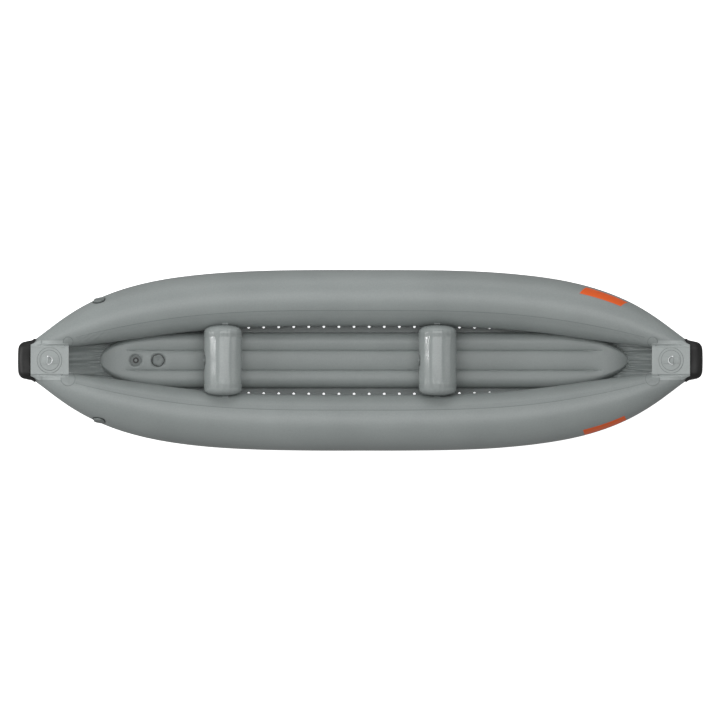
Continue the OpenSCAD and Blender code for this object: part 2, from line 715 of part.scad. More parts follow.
module plunger() {
    color(black) {
        translate([0, 0, -barrel_l - face_gap - disc_t]) cylinder(d = disc_d, h = disc_t);
        translate([0, 0, -barrel_l - face_gap - 1]) cylinder(d = stem_d, h = barrel_l + face_gap + 1 + valve_flange_t - head_t);
        translate([0, 0, valve_flange_t - head_t - 0.5]) cylinder(d = head_d, h = head_t);
    }
}

// A round-wire spring from z0 up to z1
module coil(z0, z1, d, wire, turns) {
    steps = 8;
    sides = 5;
    rise_per_turn = (z1 - z0 - wire) / turns;
    mean = (d - wire) / 2;
    loft([for (i = [0:steps * turns])
        let(a = 360 * i / steps, z = z0 + wire / 2 + rise_per_turn * i / steps)
        [for (j = [0:sides - 1]) let(b = -360 * j / sides)
            [(mean + wire / 2 * cos(b)) * cos(a), (mean + wire / 2 * cos(b)) * sin(a), z + wire / 2 * sin(b)]]]);
}

module valve_spring() {
    color(steel) coil(hub_top + 0.1, valve_flange_t - head_t - 0.6, spring_d, spring_wire, spring_turns);
}

module valve_cap() {
    lobes = 5;
    lobe_d = 22;
    base = valve_flange_t + 0.3;
    color(grey) difference() {
        union() {
            translate([0, 0, base]) linear_extrude(valve_cap_h - 2) {
                circle(d = valve_cap_d - 7);
                for (i = [0:lobes - 1]) rotate([0, 0, 360 * i / lobes])
                    translate([valve_cap_d / 2 - lobe_d / 2, 0]) circle(d = lobe_d);
            }
            translate([0, 0, base + valve_cap_h - 2.5]) cylinder(d1 = valve_cap_d - 12, d2 = valve_cap_d - 22, h = 2.5);
        }
        translate([0, 0, base - 1]) cylinder(d = collar_d + 2 * seat_gap, h = collar_h + 1 + seat_gap);
    }
}

module back_nut(bore_d) {
    flat_to_flat = nut_d * 0.92;
    color(pale_grey) translate([0, 0, -skin_t - face_gap - nut_t]) difference() {
        intersection() {
            cylinder(d = nut_d, h = nut_t);
            cylinder(d = flat_to_flat / cos(22.5), h = nut_t, $fn = 8);
        }
        translate([0, 0, -1]) cylinder(d = bore_d + 2 * nut_gap, h = nut_t + 2);
    }
}

// Places a valve's piece by the valve's name
module at_valve(name) {
    if (name == "port_tube_valve") on_tube_valve() children();
    if (name == "starboard_tube_valve") mirror([0, 1, 0]) on_tube_valve() children();
    if (name == "floor_valve") on_floor(floor_valve_x, floor_valve_sink) children();
    if (name == "rear_thwart_valve") on_thwart(rear_thwart_x) children();
    if (name == "front_thwart_valve") on_thwart(front_thwart_x) children();
}

// ---------- relief valve, in the same kind of frame ----------
relief_t = 4;           // thickness of its flange
relief_bore = poppet_d + 1;
poppet_t = 2.5;
poppet_seat = 1;        // height of the poppet's underside
relief_hub_top = -6;
relief_hub_bottom = -11;
relief_stem_end = -18;

module relief_body() {
    notch_d = 9;
    color(pale_grey) {
        difference() {
            union() {
                translate([0, 0, face_gap]) cylinder(d = relief_d, h = relief_t - 1 - face_gap);
                translate([0, 0, relief_t - 1]) cylinder(d1 = relief_d, d2 = relief_d - 3, h = 1);
                translate([0, 0, -relief_barrel_l]) cylinder(d = barrel_d, h = relief_barrel_l + 1);
            }
            translate([0, 0, poppet_seat - face_gap]) cylinder(d = relief_bore, h = relief_t + 2);
            translate([0, 0, -relief_barrel_l - 1]) cylinder(d = seat_bore, h = relief_barrel_l + 3);
            for (i = [0:relief_notches - 1]) rotate([0, 0, 360 * (i + 0.5) / relief_notches])
                translate([relief_d / 2, 0, 1.6]) cylinder(d = notch_d, h = relief_t);
        }
        difference() {
            union() {
                translate([0, 0, relief_hub_bottom]) cylinder(d = hub_d, h = relief_hub_top - relief_hub_bottom);
                for (i = [0:arm_count - 1]) rotate([0, 0, arm_turn + 360 * i / arm_count])
                    translate([0, -arm_w / 2, relief_hub_bottom + arm_step])
                        cube([seat_bore / 2 + 1, arm_w, relief_hub_top - relief_hub_bottom - 2 * arm_step]);
            }
            translate([0, 0, relief_hub_bottom - 1])
                cylinder(r = stem_d / 2 + stem_gap, h = relief_hub_top - relief_hub_bottom + 2);
        }
    }
}

module relief_poppet() {
    keeper_d = 12;
    color(black) {
        translate([0, 0, poppet_seat]) cylinder(d = poppet_d, h = poppet_t);
        translate([0, 0, relief_stem_end]) cylinder(d = stem_d, h = poppet_seat - relief_stem_end + 1);
        translate([0, 0, relief_stem_end]) cylinder(d = keeper_d, h = 1.5);
    }
}

module relief_button() {
    color(pale_grey) translate([0, 0, poppet_seat + poppet_t + face_gap]) {
        cylinder(d = button_d, h = 1);
        translate([0, 0, 1]) cylinder(d1 = button_d, d2 = button_d - 3, h = 0.8);
    }
}

module relief_spring() {
    color(steel) coil(relief_stem_end + 1.6, relief_hub_bottom - 0.1, 9.5, spring_wire, 3);
}

// ---------- what is drawn ----------
for (side = SIDES) {
    port_side(side) tube();
    port_side(side) seam_tape();
    port_side(side) flash(side == "port" ? 18 : 2);
    port_side(side) i_beam();
    port_side(side) bailing_strip();
}
for (end = ENDS) {
    bow = end == "bow";
    scale_to_end(bow) end_cap();
    scale_to_end(bow) deck_panel();
    scale_to_end(bow) {
        corner_patch(small_corner_patch_d);
        mirror([0, 1, 0]) corner_patch(corner_patch_d);
    }
    scale_to_end(bow) ring_patch();
    scale_to_end(bow) ring_strap();
    scale_to_end(bow) d_ring();
    bottom_sheet(bow);
}
for (place = THWARTS) {
    x = place == "rear" ? rear_thwart_x : front_thwart_x;
    thwart(x);
    thwart_bands(x);
    thwart_ties(x);
}
for (valve = VALVES) {
    at_valve(valve) valve_body();
    at_valve(valve) plunger();
    at_valve(valve) valve_spring();
    at_valve(valve) valve_cap();
}
air_floor();  // floor
for (valve = VALVES) at_valve(valve) back_nut(barrel_d);  // valve_back_nuts
on_floor(relief_x, floor_valve_sink) relief_body();
on_floor(relief_x, floor_valve_sink) relief_poppet();
on_floor(relief_x, floor_valve_sink) relief_button();
on_floor(relief_x, floor_valve_sink) relief_spring();
on_floor(relief_x, floor_valve_sink) back_nut(barrel_d);  // relief_back_nut
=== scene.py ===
"""Looks for a two-seat inflatable kayak: coated-fabric air chambers, moulded end caps and twist valves.

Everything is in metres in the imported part's frame: +X is the bow, +Y is port, +Z is up.
"""

from __future__ import annotations

import json
import logging
import math
from dataclasses import dataclass, field
from enum import Enum
from functools import lru_cache
from typing import Callable, Iterable, Mapping, Sequence

import bmesh
import bpy
from mathutils import Matrix, Vector, noise


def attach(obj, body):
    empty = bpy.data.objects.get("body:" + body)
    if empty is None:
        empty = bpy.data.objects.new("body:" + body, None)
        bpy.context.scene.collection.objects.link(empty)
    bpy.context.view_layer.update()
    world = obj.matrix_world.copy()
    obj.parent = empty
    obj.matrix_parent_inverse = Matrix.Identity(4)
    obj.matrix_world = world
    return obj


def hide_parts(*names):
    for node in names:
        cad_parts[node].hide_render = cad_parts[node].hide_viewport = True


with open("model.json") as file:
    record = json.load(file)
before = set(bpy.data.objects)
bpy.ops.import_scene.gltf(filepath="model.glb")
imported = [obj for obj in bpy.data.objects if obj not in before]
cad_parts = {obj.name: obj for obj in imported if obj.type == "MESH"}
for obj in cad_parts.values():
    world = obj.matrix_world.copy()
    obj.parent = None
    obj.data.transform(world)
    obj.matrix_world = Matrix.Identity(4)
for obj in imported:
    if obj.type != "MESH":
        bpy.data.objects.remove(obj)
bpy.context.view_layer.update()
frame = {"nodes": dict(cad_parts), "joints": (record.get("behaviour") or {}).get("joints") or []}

LOG = logging.getLogger("kayak")
REAR_THWART_X = -0.764
FRONT_THWART_X = 0.430
HULL = "hull"
MM = 0.001
SEAT = 0.4 * MM  # a soft piece lies this far off the curved skin below it
STEP = 1.0 * MM  # the step that slopes are measured over

Place = Callable[[float, float], Vector]


class Side(Enum):
    """The two sides of the hull, with the sign of Y."""

    PORT = 1
    STARBOARD = -1

    @property
    def label(self) -> str:
        """The side's name as the frame's nodes write it."""
        return self.name.lower()


class End(Enum):
    """The two ends of the hull, with the sign of X."""

    BOW = 1
    STERN = -1

    @property
    def label(self) -> str:
        """The end's name as the frame's nodes write it."""
        return self.name.lower()


# ---------- small helpers ----------


def linear(hex_colour: str, alpha: float = 1.0) -> tuple[float, float, float, float]:
    """Turns an sRGB hex colour to linear.

    Args:
        hex_colour: Six hex digits, with or without the hash.
        alpha: The alpha that the result carries.

    Returns:
        Red, green, blue and alpha.
    """
    digits = hex_colour.lstrip("#")
    channels = [int(digits[i : i + 2], 16) / 255 for i in (0, 2, 4)]
    red, green, blue = (c / 12.92 if c <= 0.04045 else ((c + 0.055) / 1.055) ** 2.4 for c in channels)
    return red, green, blue, alpha


def smoothstep(low: float, high: float, value: float) -> float:
    """Returns 0 below low, 1 above high and a smooth ramp between them."""
    t = min(1.0, max(0.0, (value - low) / (high - low)))
    return t * t * (3 - 2 * t)


def mix(a: float, b: float, t: float) -> float:
    """Returns the value a share t of the way from a to b."""
    return a + (b - a) * t


def add_node(
    tree: bpy.types.NodeTree,
    kind: str,
    links: Mapping[str | int, bpy.types.NodeSocket] | None = None,
    sockets: Mapping[str | int, object] | None = None,
    **settings: object,
) -> bpy.types.Node:
    """Adds a shader node.

    Args:
        tree: The material's node tree.
        kind: The node's class name.
        links: Input names or numbers, and the outputs that feed them.
        sockets: Input names or numbers, and their plain values.
        **settings: The node's own properties.

    Returns:
        The new node.
    """
    node = tree.nodes.new(kind)
    for name, value in settings.items():
        setattr(node, name, value)
    for name, value in (sockets or {}).items():
        node.inputs[name].default_value = value
    for name, source in (links or {}).items():
        tree.links.new(source, node.inputs[name])
    return node


def new_tree(name: str) -> tuple[bpy.types.Material, bpy.types.NodeTree, bpy.types.Node]:
    """Makes an empty node material.

    Args:
        name: The material's name.

    Returns:
        The material, its node tree and its main shader.
    """
    material = bpy.data.materials.new(name)
    material.use_nodes = True
    tree = material.node_tree
    tree.nodes.clear()
    shader = add_node(tree, "ShaderNodeBsdfPrincipled")
    add_node(tree, "ShaderNodeOutputMaterial", {"Surface": shader.outputs["BSDF"]})
    return material, tree, shader


def wave_scale(period: float) -> float:
    """Returns the Wave texture's scale for bands that repeat every period metres."""
    return 2 * math.pi / 20 / period


# ---------- finishes ----------


@dataclass(frozen=True)
class CoatedFabric:
    """Rubber-coated polyester: the eye gets a satin skin, a faint weave under it and slight cloudiness."""

    name: str
    light: str
    dark: str
    roughness: float = 0.42
    weave: float = 1.6 * MM  # real threads are 0.5 mm apart, drawn coarser so that they show
    weave_depth: float = 0.018 * MM
    pebble: float = 2.2 * MM
    pebble_depth: float = 0.03 * MM
    ripple: float = 60 * MM
    ripple_depth: float = 0.35 * MM
    on_surface: bool = True  # the weave follows the piece's own UV map, which is in metres

    def build(self) -> bpy.types.Material:
        """Returns the fabric's material."""
        material, tree, shader = new_tree(self.name)
        place = add_node(tree, "ShaderNodeTexCoord")
        solid = place.outputs["Object"]
        flat = place.outputs["UV"] if self.on_surface else solid
        cloud = add_node(tree, "ShaderNodeTexNoise", {"Vector": solid}, {"Scale": 3.2, "Detail": 3.0})
        dust = add_node(
            tree, "ShaderNodeTexNoise", {"Vector": solid}, {"Scale": 1 / (4 * self.pebble), "Detail": 2.0}
        )
        share = add_node(
            tree, "ShaderNodeMapRange", {"Value": cloud.outputs["Fac"]}, {"From Min": 0.3, "From Max": 0.7}
        )
        clouded = add_node(
            tree,
            "ShaderNodeMixRGB",
            {"Fac": share.outputs["Result"]},
            {"Color1": linear(self.dark), "Color2": linear(self.light)},
        )
        fleck = add_node(
            tree,
            "ShaderNodeMapRange",
            {"Value": dust.outputs["Fac"]},
            {"From Min": 0.35, "From Max": 0.65, "To Min": 0.965, "To Max": 1.02},
        )
        colour = add_node(
            tree,
            "ShaderNodeMixRGB",
            {"Color1": clouded.outputs["Color"], "Color2": fleck.outputs["Result"]},
            {"Fac": 1.0},
            blend_type="MULTIPLY",
        )
        sheen = add_node(
            tree,
            "ShaderNodeMapRange",
            {"Value": cloud.outputs["Fac"]},
            {"To Min": self.roughness - 0.04, "To Max": self.roughness + 0.05},
        )
        threads = [
            add_node(
                tree,
                "ShaderNodeTexWave",
                {"Vector": flat},
                {"Scale": wave_scale(self.weave)},
                wave_type="BANDS",
                bands_direction=direction,
            )
            for direction in ("X", "Y")
        ]
        weave = add_node(
            tree,
            "ShaderNodeMath",
            {index: thread.outputs["Fac"] for index, thread in enumerate(threads)},
            operation="MULTIPLY",
        )
        pebble = add_node(
            tree, "ShaderNodeTexNoise", {"Vector": solid}, {"Scale": 1 / self.pebble, "Detail": 2.0}
        )
        ripple = add_node(
            tree, "ShaderNodeTexNoise", {"Vector": solid}, {"Scale": 1 / self.ripple, "Detail": 2.0}
        )
        normal = None
        for height, depth in (
            (ripple.outputs["Fac"], self.ripple_depth),
            (pebble.outputs["Fac"], self.pebble_depth),
            (weave.outputs["Value"], self.weave_depth),
        ):
            links = {"Height": height}
            if normal is not None:
                links["Normal"] = normal
            normal = add_node(
                tree, "ShaderNodeBump", links, {"Strength": 1.0, "Distance": depth}
            ).outputs["Normal"]
        tree.links.new(colour.outputs["Color"], shader.inputs["Base Color"])
        tree.links.new(sheen.outputs["Result"], shader.inputs["Roughness"])
        tree.links.new(normal, shader.inputs["Normal"])
        shader.inputs["IOR"].default_value = 1.5
        return material


@dataclass(frozen=True)
class Moulded:
    """Moulded rubber or nylon: one even colour, a fine spark-eroded grain and slightly worn high spots."""

    name: str
    light: str
    dark: str
    roughness: float
    grain: float = 0.7 * MM
    grain_depth: float = 0.03 * MM

    def build(self) -> bpy.types.Material:
        """Returns the moulding's material."""
        material, tree, shader = new_tree(self.name)
        solid = add_node(tree, "ShaderNodeTexCoord").outputs["Object"]
        grain = add_node(tree, "ShaderNodeTexNoise", {"Vector": solid}, {"Scale": 1 / self.grain, "Detail": 2.0})
        cloud = add_node(tree, "ShaderNodeTexNoise", {"Vector": solid}, {"Scale": 25.0, "Detail": 3.0})
        colour = add_node(
            tree,
            "ShaderNodeMixRGB",
            {"Fac": cloud.outputs["Fac"]},
            {"Color1": linear(self.dark), "Color2": linear(self.light)},
        )
        rough = add_node(
            tree,
            "ShaderNodeMapRange",
            {"Value": cloud.outputs["Fac"]},
            {"To Min": self.roughness - 0.06, "To Max": self.roughness + 0.08},
        )
        bump = add_node(
            tree,
            "ShaderNodeBump",
            {"Height": grain.outputs["Fac"]},
            {"Strength": 1.0, "Distance": self.grain_depth},
        )
        tree.links.new(colour.outputs["Color"], shader.inputs["Base Color"])
        tree.links.new(rough.outputs["Result"], shader.inputs["Roughness"])
        tree.links.new(bump.outputs["Normal"], shader.inputs["Normal"])
        return material


@dataclass(frozen=True)
class Steel:
    """Stainless steel: bright metal with the hairlines of polishing."""

    name: str
    colour: str
    roughness: float
    hairline: float = 0.8 * MM  # real lines are finer, drawn coarser so that they show

    def build(self) -> bpy.types.Material:
        """Returns the metal's material."""
        material, tree, shader = new_tree(self.name)
        solid = add_node(tree, "ShaderNodeTexCoord").outputs["Object"]
        stretched = add_node(tree, "ShaderNodeMapping", {"Vector": solid}, {"Scale": (0.08, 1.0, 1.0)})
        lines = add_node(
            tree,
            "ShaderNodeTexNoise",
            {"Vector": stretched.outputs["Vector"]},
            {"Scale": 1 / self.hairline, "Detail": 2.0},
        )
        rough = add_node(
            tree,
            "ShaderNodeMapRange",
            {"Value": lines.outputs["Fac"]},
            {"To Min": self.roughness - 0.05, "To Max": self.roughness + 0.1},
        )
        bump = add_node(
            tree,
            "ShaderNodeBump",
            {"Height": lines.outputs["Fac"]},
            {"Strength": 0.6, "Distance": 0.01 * MM},
        )
        shader.inputs["Base Color"].default_value = linear(self.colour)
        shader.inputs["Metallic"].default_value = 1.0
        tree.links.new(rough.outputs["Result"], shader.inputs["Roughness"])
        tree.links.new(bump.outputs["Normal"], shader.inputs["Normal"])
        return material


FABRIC = CoatedFabric("satin_coated_polyester", "#939998", "#8C9291")
FLOOR_FABRIC = CoatedFabric("coated_floor_fabric", "#909695", "#898F8E", roughness=0.45)
THWART_FABRIC = CoatedFabric("taut_coated_fabric", "#999F9E", "#939998", roughness=0.13)
SHEET_FABRIC = CoatedFabric("thin_coated_sheet", "#858B8A", "#7E8483", roughness=0.34, ripple_depth=0.2 * MM)
# The strip's fabric is drawn darker than the rest: painted shade for the deep gap between the tube and the floor.
SHADED_STRIP_FABRIC = CoatedFabric("drained_coated_strip", "#6F7574", "#686E6D", roughness=0.4)
DECK_FABRIC = CoatedFabric("doubled_coated_fabric", "#A8AEAD", "#A2A8A7", roughness=0.45)
PATCH_FABRIC = CoatedFabric("rubbered_reinforcement_fabric", "#A5ABAA", "#9FA5A4", roughness=0.5, on_surface=False)
TAPE_FABRIC = CoatedFabric("glued_seam_tape", "#8F9594", "#898F8E", roughness=0.46)
WEB_FABRIC = CoatedFabric("woven_beam_web", "#B9BDBB", "#AFB3B1", roughness=0.7, on_surface=False)
FILM = Moulded("orange_vinyl_film", "#F26419", "#E85A10", 0.38, grain=3 * MM, grain_depth=0.01 * MM)
RUBBER = Moulded("moulded_black_rubber", "#141414", "#0F0F0F", 0.55, grain=1.2 * MM, grain_depth=0.06 * MM)
NYLON = Moulded("moulded_grey_nylon", "#7C8281", "#747A79", 0.42)
PALE_NYLON = Moulded("moulded_pale_nylon", "#D2D4D4", "#C8CBCB", 0.4)
MID_NYLON = Moulded("moulded_slate_nylon", "#696F6E", "#626867", 0.45)
DARK_NYLON = Moulded("moulded_dark_nylon", "#464B4A", "#3F4443", 0.45)
# The glue lines are a real bead of glue, drawn darker than the fabric round them as painted shade for the edges of the
# tape and the patches.
GLUE_AND_EDGE_SHADE = Moulded("dried_adhesive", "#7D8382", "#757B7A", 0.4)
SEAL_RUBBER = Moulded("moulded_seal_rubber", "#1E1E1E", "#171717", 0.45)
RING_STEEL = Steel("polished_stainless_steel", "#E4E6E7", 0.26)
SPRING_STEEL = Steel("drawn_spring_wire", "#C2C5C8", 0.3)


@lru_cache(maxsize=None)
def material_of(finish: CoatedFabric | Moulded | Steel) -> bpy.types.Material:
    """Returns a finish's material, which is built once."""
    return finish.build()


# ---------- meshes ----------


def spanned(columns: int, rows: int, place: Place, wrap: bool = False) -> bmesh.types.BMesh:
    """Makes a grid and moves each of its points to its place on a surface.

    Args:
        columns: Squares along u.
        rows: Squares along v.
        place: Gives the point of the surface at u and v, each from 0 to 1.
        wrap: Joins the edge at v = 1 to the edge at v = 0.

    Returns:
        The surface, with a UV map that holds u and v.
    """
    mesh = bmesh.new()
    bmesh.ops.create_grid(mesh, x_segments=columns, y_segments=rows, size=0.5, calc_uvs=False)
    uv = mesh.loops.layers.uv.new("surface")
    for face in mesh.faces:
        for loop in face.loops:
            loop[uv].uv = (loop.vert.co.x + 0.5, loop.vert.co.y + 0.5)
    if wrap:
        top = {}
        for vert in mesh.verts:
            if vert.co.y > 0.5 - 1e-6:
                top[round((vert.co.x + 0.5) * columns)] = vert
        merged = {top[round((v.co.x + 0.5) * columns)]: v for v in mesh.verts if v.co.y < -0.5 + 1e-6}
        spots = {v: (v.co.x + 0.5, v.co.y + 0.5) for v in mesh.verts if v not in merged}
        bmesh.ops.weld_verts(mesh, targetmap=merged)
    else:
        spots = {v: (v.co.x + 0.5, v.co.y + 0.5) for v in mesh.verts}
    for vert, (u, v) in spots.items():
        vert.co = place(u, v)
    return mesh


def close_ends(mesh: bmesh.types.BMesh) -> None:
    """Closes every open rim with one face."""
    rim = [e for e in mesh.edges if e.is_boundary]
    bmesh.ops.holes_fill(mesh, edges=rim, sides=0)


def stretch_uv(mesh: bmesh.types.BMesh, along: float, around: float) -> None:
    """Turns a UV map of shares into metres.

    Args:
        mesh: A mesh from spanned.
        along: The surface's length in metres.
        around: Its width in metres.
    """
    uv = mesh.loops.layers.uv["surface"]
    for face in mesh.faces:
        for loop in face.loops:
            loop[uv].uv = (loop[uv].uv.x * along, loop[uv].uv.y * around)


def outwards(mesh: bmesh.types.BMesh) -> None:
    """Turns a closed mesh's faces to point outwards."""
    bmesh.ops.recalc_face_normals(mesh, faces=mesh.faces[:])


@dataclass
class Piece:
    """One visible piece: its mesh, its finish and what it stands for."""

    name: str
    mesh: bmesh.types.BMesh
    finish: CoatedFabric | Moulded | Steel
    slot: str
    replaces: Sequence[str] = ()
    body: str = HULL
    sharp: float = 40.0  # an edge sharper than this many degrees stays crisp

    def make(self) -> bpy.types.Object:
        """Makes the object, rides it on its body and reports it.

        Returns:
            The finished object.
        """
        data = bpy.data.meshes.new(self.name)
        for face in self.mesh.faces:
            face.smooth = True
        limit = math.radians(self.sharp)
        for edge in self.mesh.edges:
            if len(edge.link_faces) == 2 and edge.calc_face_angle(0.0) > limit:
                edge.smooth = False
        self.mesh.to_mesh(data)
        self.mesh.free()
        data.materials.append(material_of(self.finish))
        made = bpy.data.objects.new(self.name, data)
        bpy.context.scene.collection.objects.link(made)
        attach(made, self.body)
        if self.replaces:
            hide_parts(*self.replaces)
        LOG.info("%s: %d faces, %s", self.name, len(data.polygons), self.finish.name)
        return made


# ---------- the hull's lines ----------


@dataclass(frozen=True)
class Station:
    """A place along a side tube: its centre, directions and radius, for the port side and either end."""

    centre: Vector
    outboard: Vector
    up: Vector
    radius: float
    slope_y: float
    slope_z: float


@dataclass(frozen=True)
class HullLines:
    """The curves that the side tubes follow."""

    half_length: float = 1.905
    tube_spacing: float = 0.694
    tube_radius: float = 0.156
    tip_radius: float = 0.033
    tip_spacing: float = 0.110
    tip_aim: float = 0.014
    rocker_rise: float = 0.250
    rocker_flat: float = 1.200
    fullness: float = 3.36
    onset: float = 8.0
    taper: float = 2.7
    keel_flat: float = 0.001
    cap_wall: float = 3.5 * MM
    cap_gap: float = 1.3 * MM
    nose_lean: float = 4.0 * MM
    tip_dome: float = 0.033

    @property
    def tube_end(self) -> float:
        """The distance from amidships to a tube's tip."""
        return self.half_length - self.cap_wall - self.cap_gap - self.nose_lean

    def share(self, s: float) -> float:
        """Returns how far s is from amidships, as a share of the half length."""
        return min(abs(s) / self.half_length, 1.0)

    def spread(self, s: float) -> float:
        """Returns the distance of a tube's centreline from the middle plane."""
        wide = self.tip_aim + (self.tube_spacing / 2 - self.tip_aim) * (1 - self.share(s) ** self.fullness)
        return (wide**6 + (self.tip_spacing / 2) ** 6) ** (1 / 6)

    def girth(self, s: float) -> float:
        """Returns a tube's radius without its rounded tip."""
        thin = (1 - self.share(s) ** self.onset) ** self.taper
        return self.tip_radius + (self.tube_radius - self.tip_radius) * thin

    def rise(self, s: float) -> float:
        """Returns how far the centreline has risen at s."""
        flat = self.rocker_flat / 2
        return self.rocker_rise * (max(0.0, abs(s) - flat) / (self.half_length - flat)) ** 2

    def height(self, s: float) -> float:
        """Returns the centreline's height above the ground."""
        return self.tube_radius - self.keel_flat + self.rise(s)

    def skin_radius(self, s: float) -> float:
        """Returns a tube's radius with its rounded tip."""
        into = max(0.0, abs(s) - (self.tube_end - self.tip_dome)) / self.tip_dome
        return self.girth(s) * math.sqrt(max(0.0, 1 - into * into))


LINES = HullLines()


@lru_cache(maxsize=None)
def station(s: float) -> Station:
    """Returns the port tube's station at s metres from amidships."""
    slope_y = (LINES.spread(s + STEP) - LINES.spread(s - STEP)) / (2 * STEP)
    slope_z = (LINES.rise(s + STEP) - LINES.rise(s - STEP)) / (2 * STEP)
    along = Vector((1.0, slope_y, slope_z)).normalized()
    outboard = Vector((-slope_y, 1.0, 0.0)).normalized()
    centre = Vector((s, LINES.spread(s), LINES.height(s)))
    return Station(centre, outboard, along.cross(outboard), LINES.skin_radius(s), slope_y, slope_z)


def around(s: float, degrees: float) -> Vector:
    """Returns a direction round the port tube: 0 is outboard, 90 is up, 180 is inboard."""
    place, turn = station(s), math.radians(degrees)
    return place.outboard * math.cos(turn) + place.up * math.sin(turn)


def skin(s: float, degrees: float, off: float = 0.0) -> Vector:
    """Returns a point on the port tube's skin, or off it by a clearance."""
    place = station(s)
    return place.centre + around(s, degrees) * (place.radius + off)


def sided(point: Vector, side: Side) -> Vector:
    """Returns a port point as it lies on that side."""
    return Vector((point.x, point.y * side.value, point.z))


def over_tube(x: float, y: float) -> tuple[float, float, float]:
    """Finds the tube's upper skin over a point of the plan.

    Args:
        x: The point's distance towards the nearest end.
        y: Its distance from the middle plane.

    Returns:
        The station below it, the skin's height, and how steep the skin is there.
    """
    s, lift = x, 0.0
    height = steep = 0.0
    for _ in range(9):
        place = station(round(s, 6))
        m = math.hypot(place.slope_y, 1)
        n = math.sqrt(1 + place.slope_y**2 + place.slope_z**2)
        across = m * (y - LINES.spread(s)) + lift * place.slope_z * place.slope_y / n
        girth = LINES.girth(s)
        lift = math.sqrt(max(1e-6, girth * girth - across * across))
        height = LINES.height(s) + lift * m / n
        steep = girth / (lift * m / n)
        s = x + across * place.slope_y / m + lift * place.slope_z / (n * m)
    return s, height, steep


# ---------- valve seats ----------


@dataclass(frozen=True)
class Seat:
    """A flat seat for a valve in an air chamber's skin."""

    origin: Vector
    axis: Vector
    flat: float
    fade: float
    hole: float = 26 * MM
    reach: float = 40 * MM  # skin further than this from the seat's plane isn't touched

    def press(self, mesh: bmesh.types.BMesh) -> None:
        """Splits the skin finely round the seat, presses it flat and opens the hole for the barrel."""
        for radius in (self.fade, self.flat):
            near = [e for e in mesh.edges if all(self.radial(v.co) < radius for v in e.verts)]
            bmesh.ops.subdivide_edges(mesh, edges=near, cuts=1, use_grid_fill=True)
        for vert in mesh.verts:
            radial = self.radial(vert.co)
            if radial < self.fade:
                height = (vert.co - self.origin).dot(self.axis)
                vert.co -= self.axis * height * (1 - smoothstep(self.flat, self.fade, radial))
        inside = [f for f in mesh.faces if self.radial(f.calc_center_median()) < self.hole]
        bmesh.ops.delete(mesh, geom=inside, context="FACES")

    def radial(self, point: Vector) -> float:
        """Returns a point's distance from the seat's axis, or far away off its plane."""
        away = point - self.origin
        height = away.dot(self.axis)
        return 1.0 if abs(height) > self.reach else (away - self.axis * height).length


def seat_of(body_node: str, joint: str) -> Seat:
    """Finds a valve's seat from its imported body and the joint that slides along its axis.

    Args:
        body_node: The valve body's node, whose flange is its widest part.
        joint: The joint that slides out along the valve's axis.

    Returns:
        The seat on the axis, at the flange's underside.
    """
    axis = Vector(next(j for j in frame["joints"] if j["name"] == joint)["axis"]).normalized()
    points = [v.co.copy() for v in frame["nodes"][body_node].data.vertices]
    ahead = axis.orthogonal().normalized()
    beside = axis.cross(ahead)

    def middle(among: Iterable[Vector], direction: Vector) -> float:
        """Returns the middle of the points' extent along a direction."""
        reach = [p.dot(direction) for p in among]
        return (min(reach) + max(reach)) / 2

    centre = ahead * middle(points, ahead) + beside * middle(points, beside)
    radii = [(p - axis * p.dot(axis) - centre).length for p in points]
    rim = [p for p, r in zip(points, radii) if r > max(radii) - 0.3 * MM]
    flange = max(radii)
    return Seat(centre + axis * min(p.dot(axis) for p in rim), axis, flange + 1.2 * MM, flange + 7 * MM)


def slab(columns: int, rows: int, place: Callable[[float, float, float], Vector], wall: float) -> bmesh.types.BMesh:
    """Makes a thin closed sheet.

    Args:
        columns: Squares along u.
        rows: Squares along w.
        place: Gives the point at u, w and the height over the sheet's underside.
        wall: The sheet's thickness.

    Returns:
        The closed sheet.
    """
    ring = [(k / rows, wall) for k in range(rows + 1)] + [(k / rows, 0.0) for k in range(rows, -1, -1)]

    def lay(u: float, v: float) -> Vector:
        """Returns the point at a step round the sheet's section."""
        w, height = ring[round(v * len(ring)) % len(ring)]
        return place(u, w, height)

    mesh = spanned(columns, len(ring), lay, wrap=True)
    close_ends(mesh)
    outwards(mesh)
    return mesh


def joined(mesh: bmesh.types.BMesh) -> None:
    """Joins the two ends of a closed sheet that runs all the way round something."""
    bmesh.ops.delete(mesh, geom=[f for f in mesh.faces if len(f.verts) > 4], context="FACES")
    bmesh.ops.remove_doubles(mesh, verts=mesh.verts[:], dist=1e-6)
    outwards(mesh)


def turned(profile: Sequence[tuple[float, float]], segments: int = 64) -> bmesh.types.BMesh:
    """Turns a closed outline of radii and heights about the Z axis."""
    mesh = bmesh.new()
    verts = [mesh.verts.new((radius, 0.0, height)) for radius, height in profile]
    edges = [mesh.edges.new(pair) for pair in zip(verts, verts[1:])]
    bmesh.ops.spin(
        mesh,
        geom=verts + edges,
        cent=(0, 0, 0),
        axis=(0, 0, 1),
        angle=2 * math.pi,
        steps=segments,
        use_merge=True,
    )
    bmesh.ops.remove_doubles(mesh, verts=mesh.verts[:], dist=1e-6)
    outwards(mesh)
    return mesh


def turned_to(origin: Vector, out: Vector, ahead: Vector) -> Matrix:
    """Returns the matrix that sets a piece on a seat: Z goes out of it and X ahead along it."""
    z = out.normalized()
    y = z.cross(ahead).normalized()
    return Matrix.Translation(origin) @ Matrix((y.cross(z), y, z)).transposed().to_4x4()


# ---------- side tubes ----------


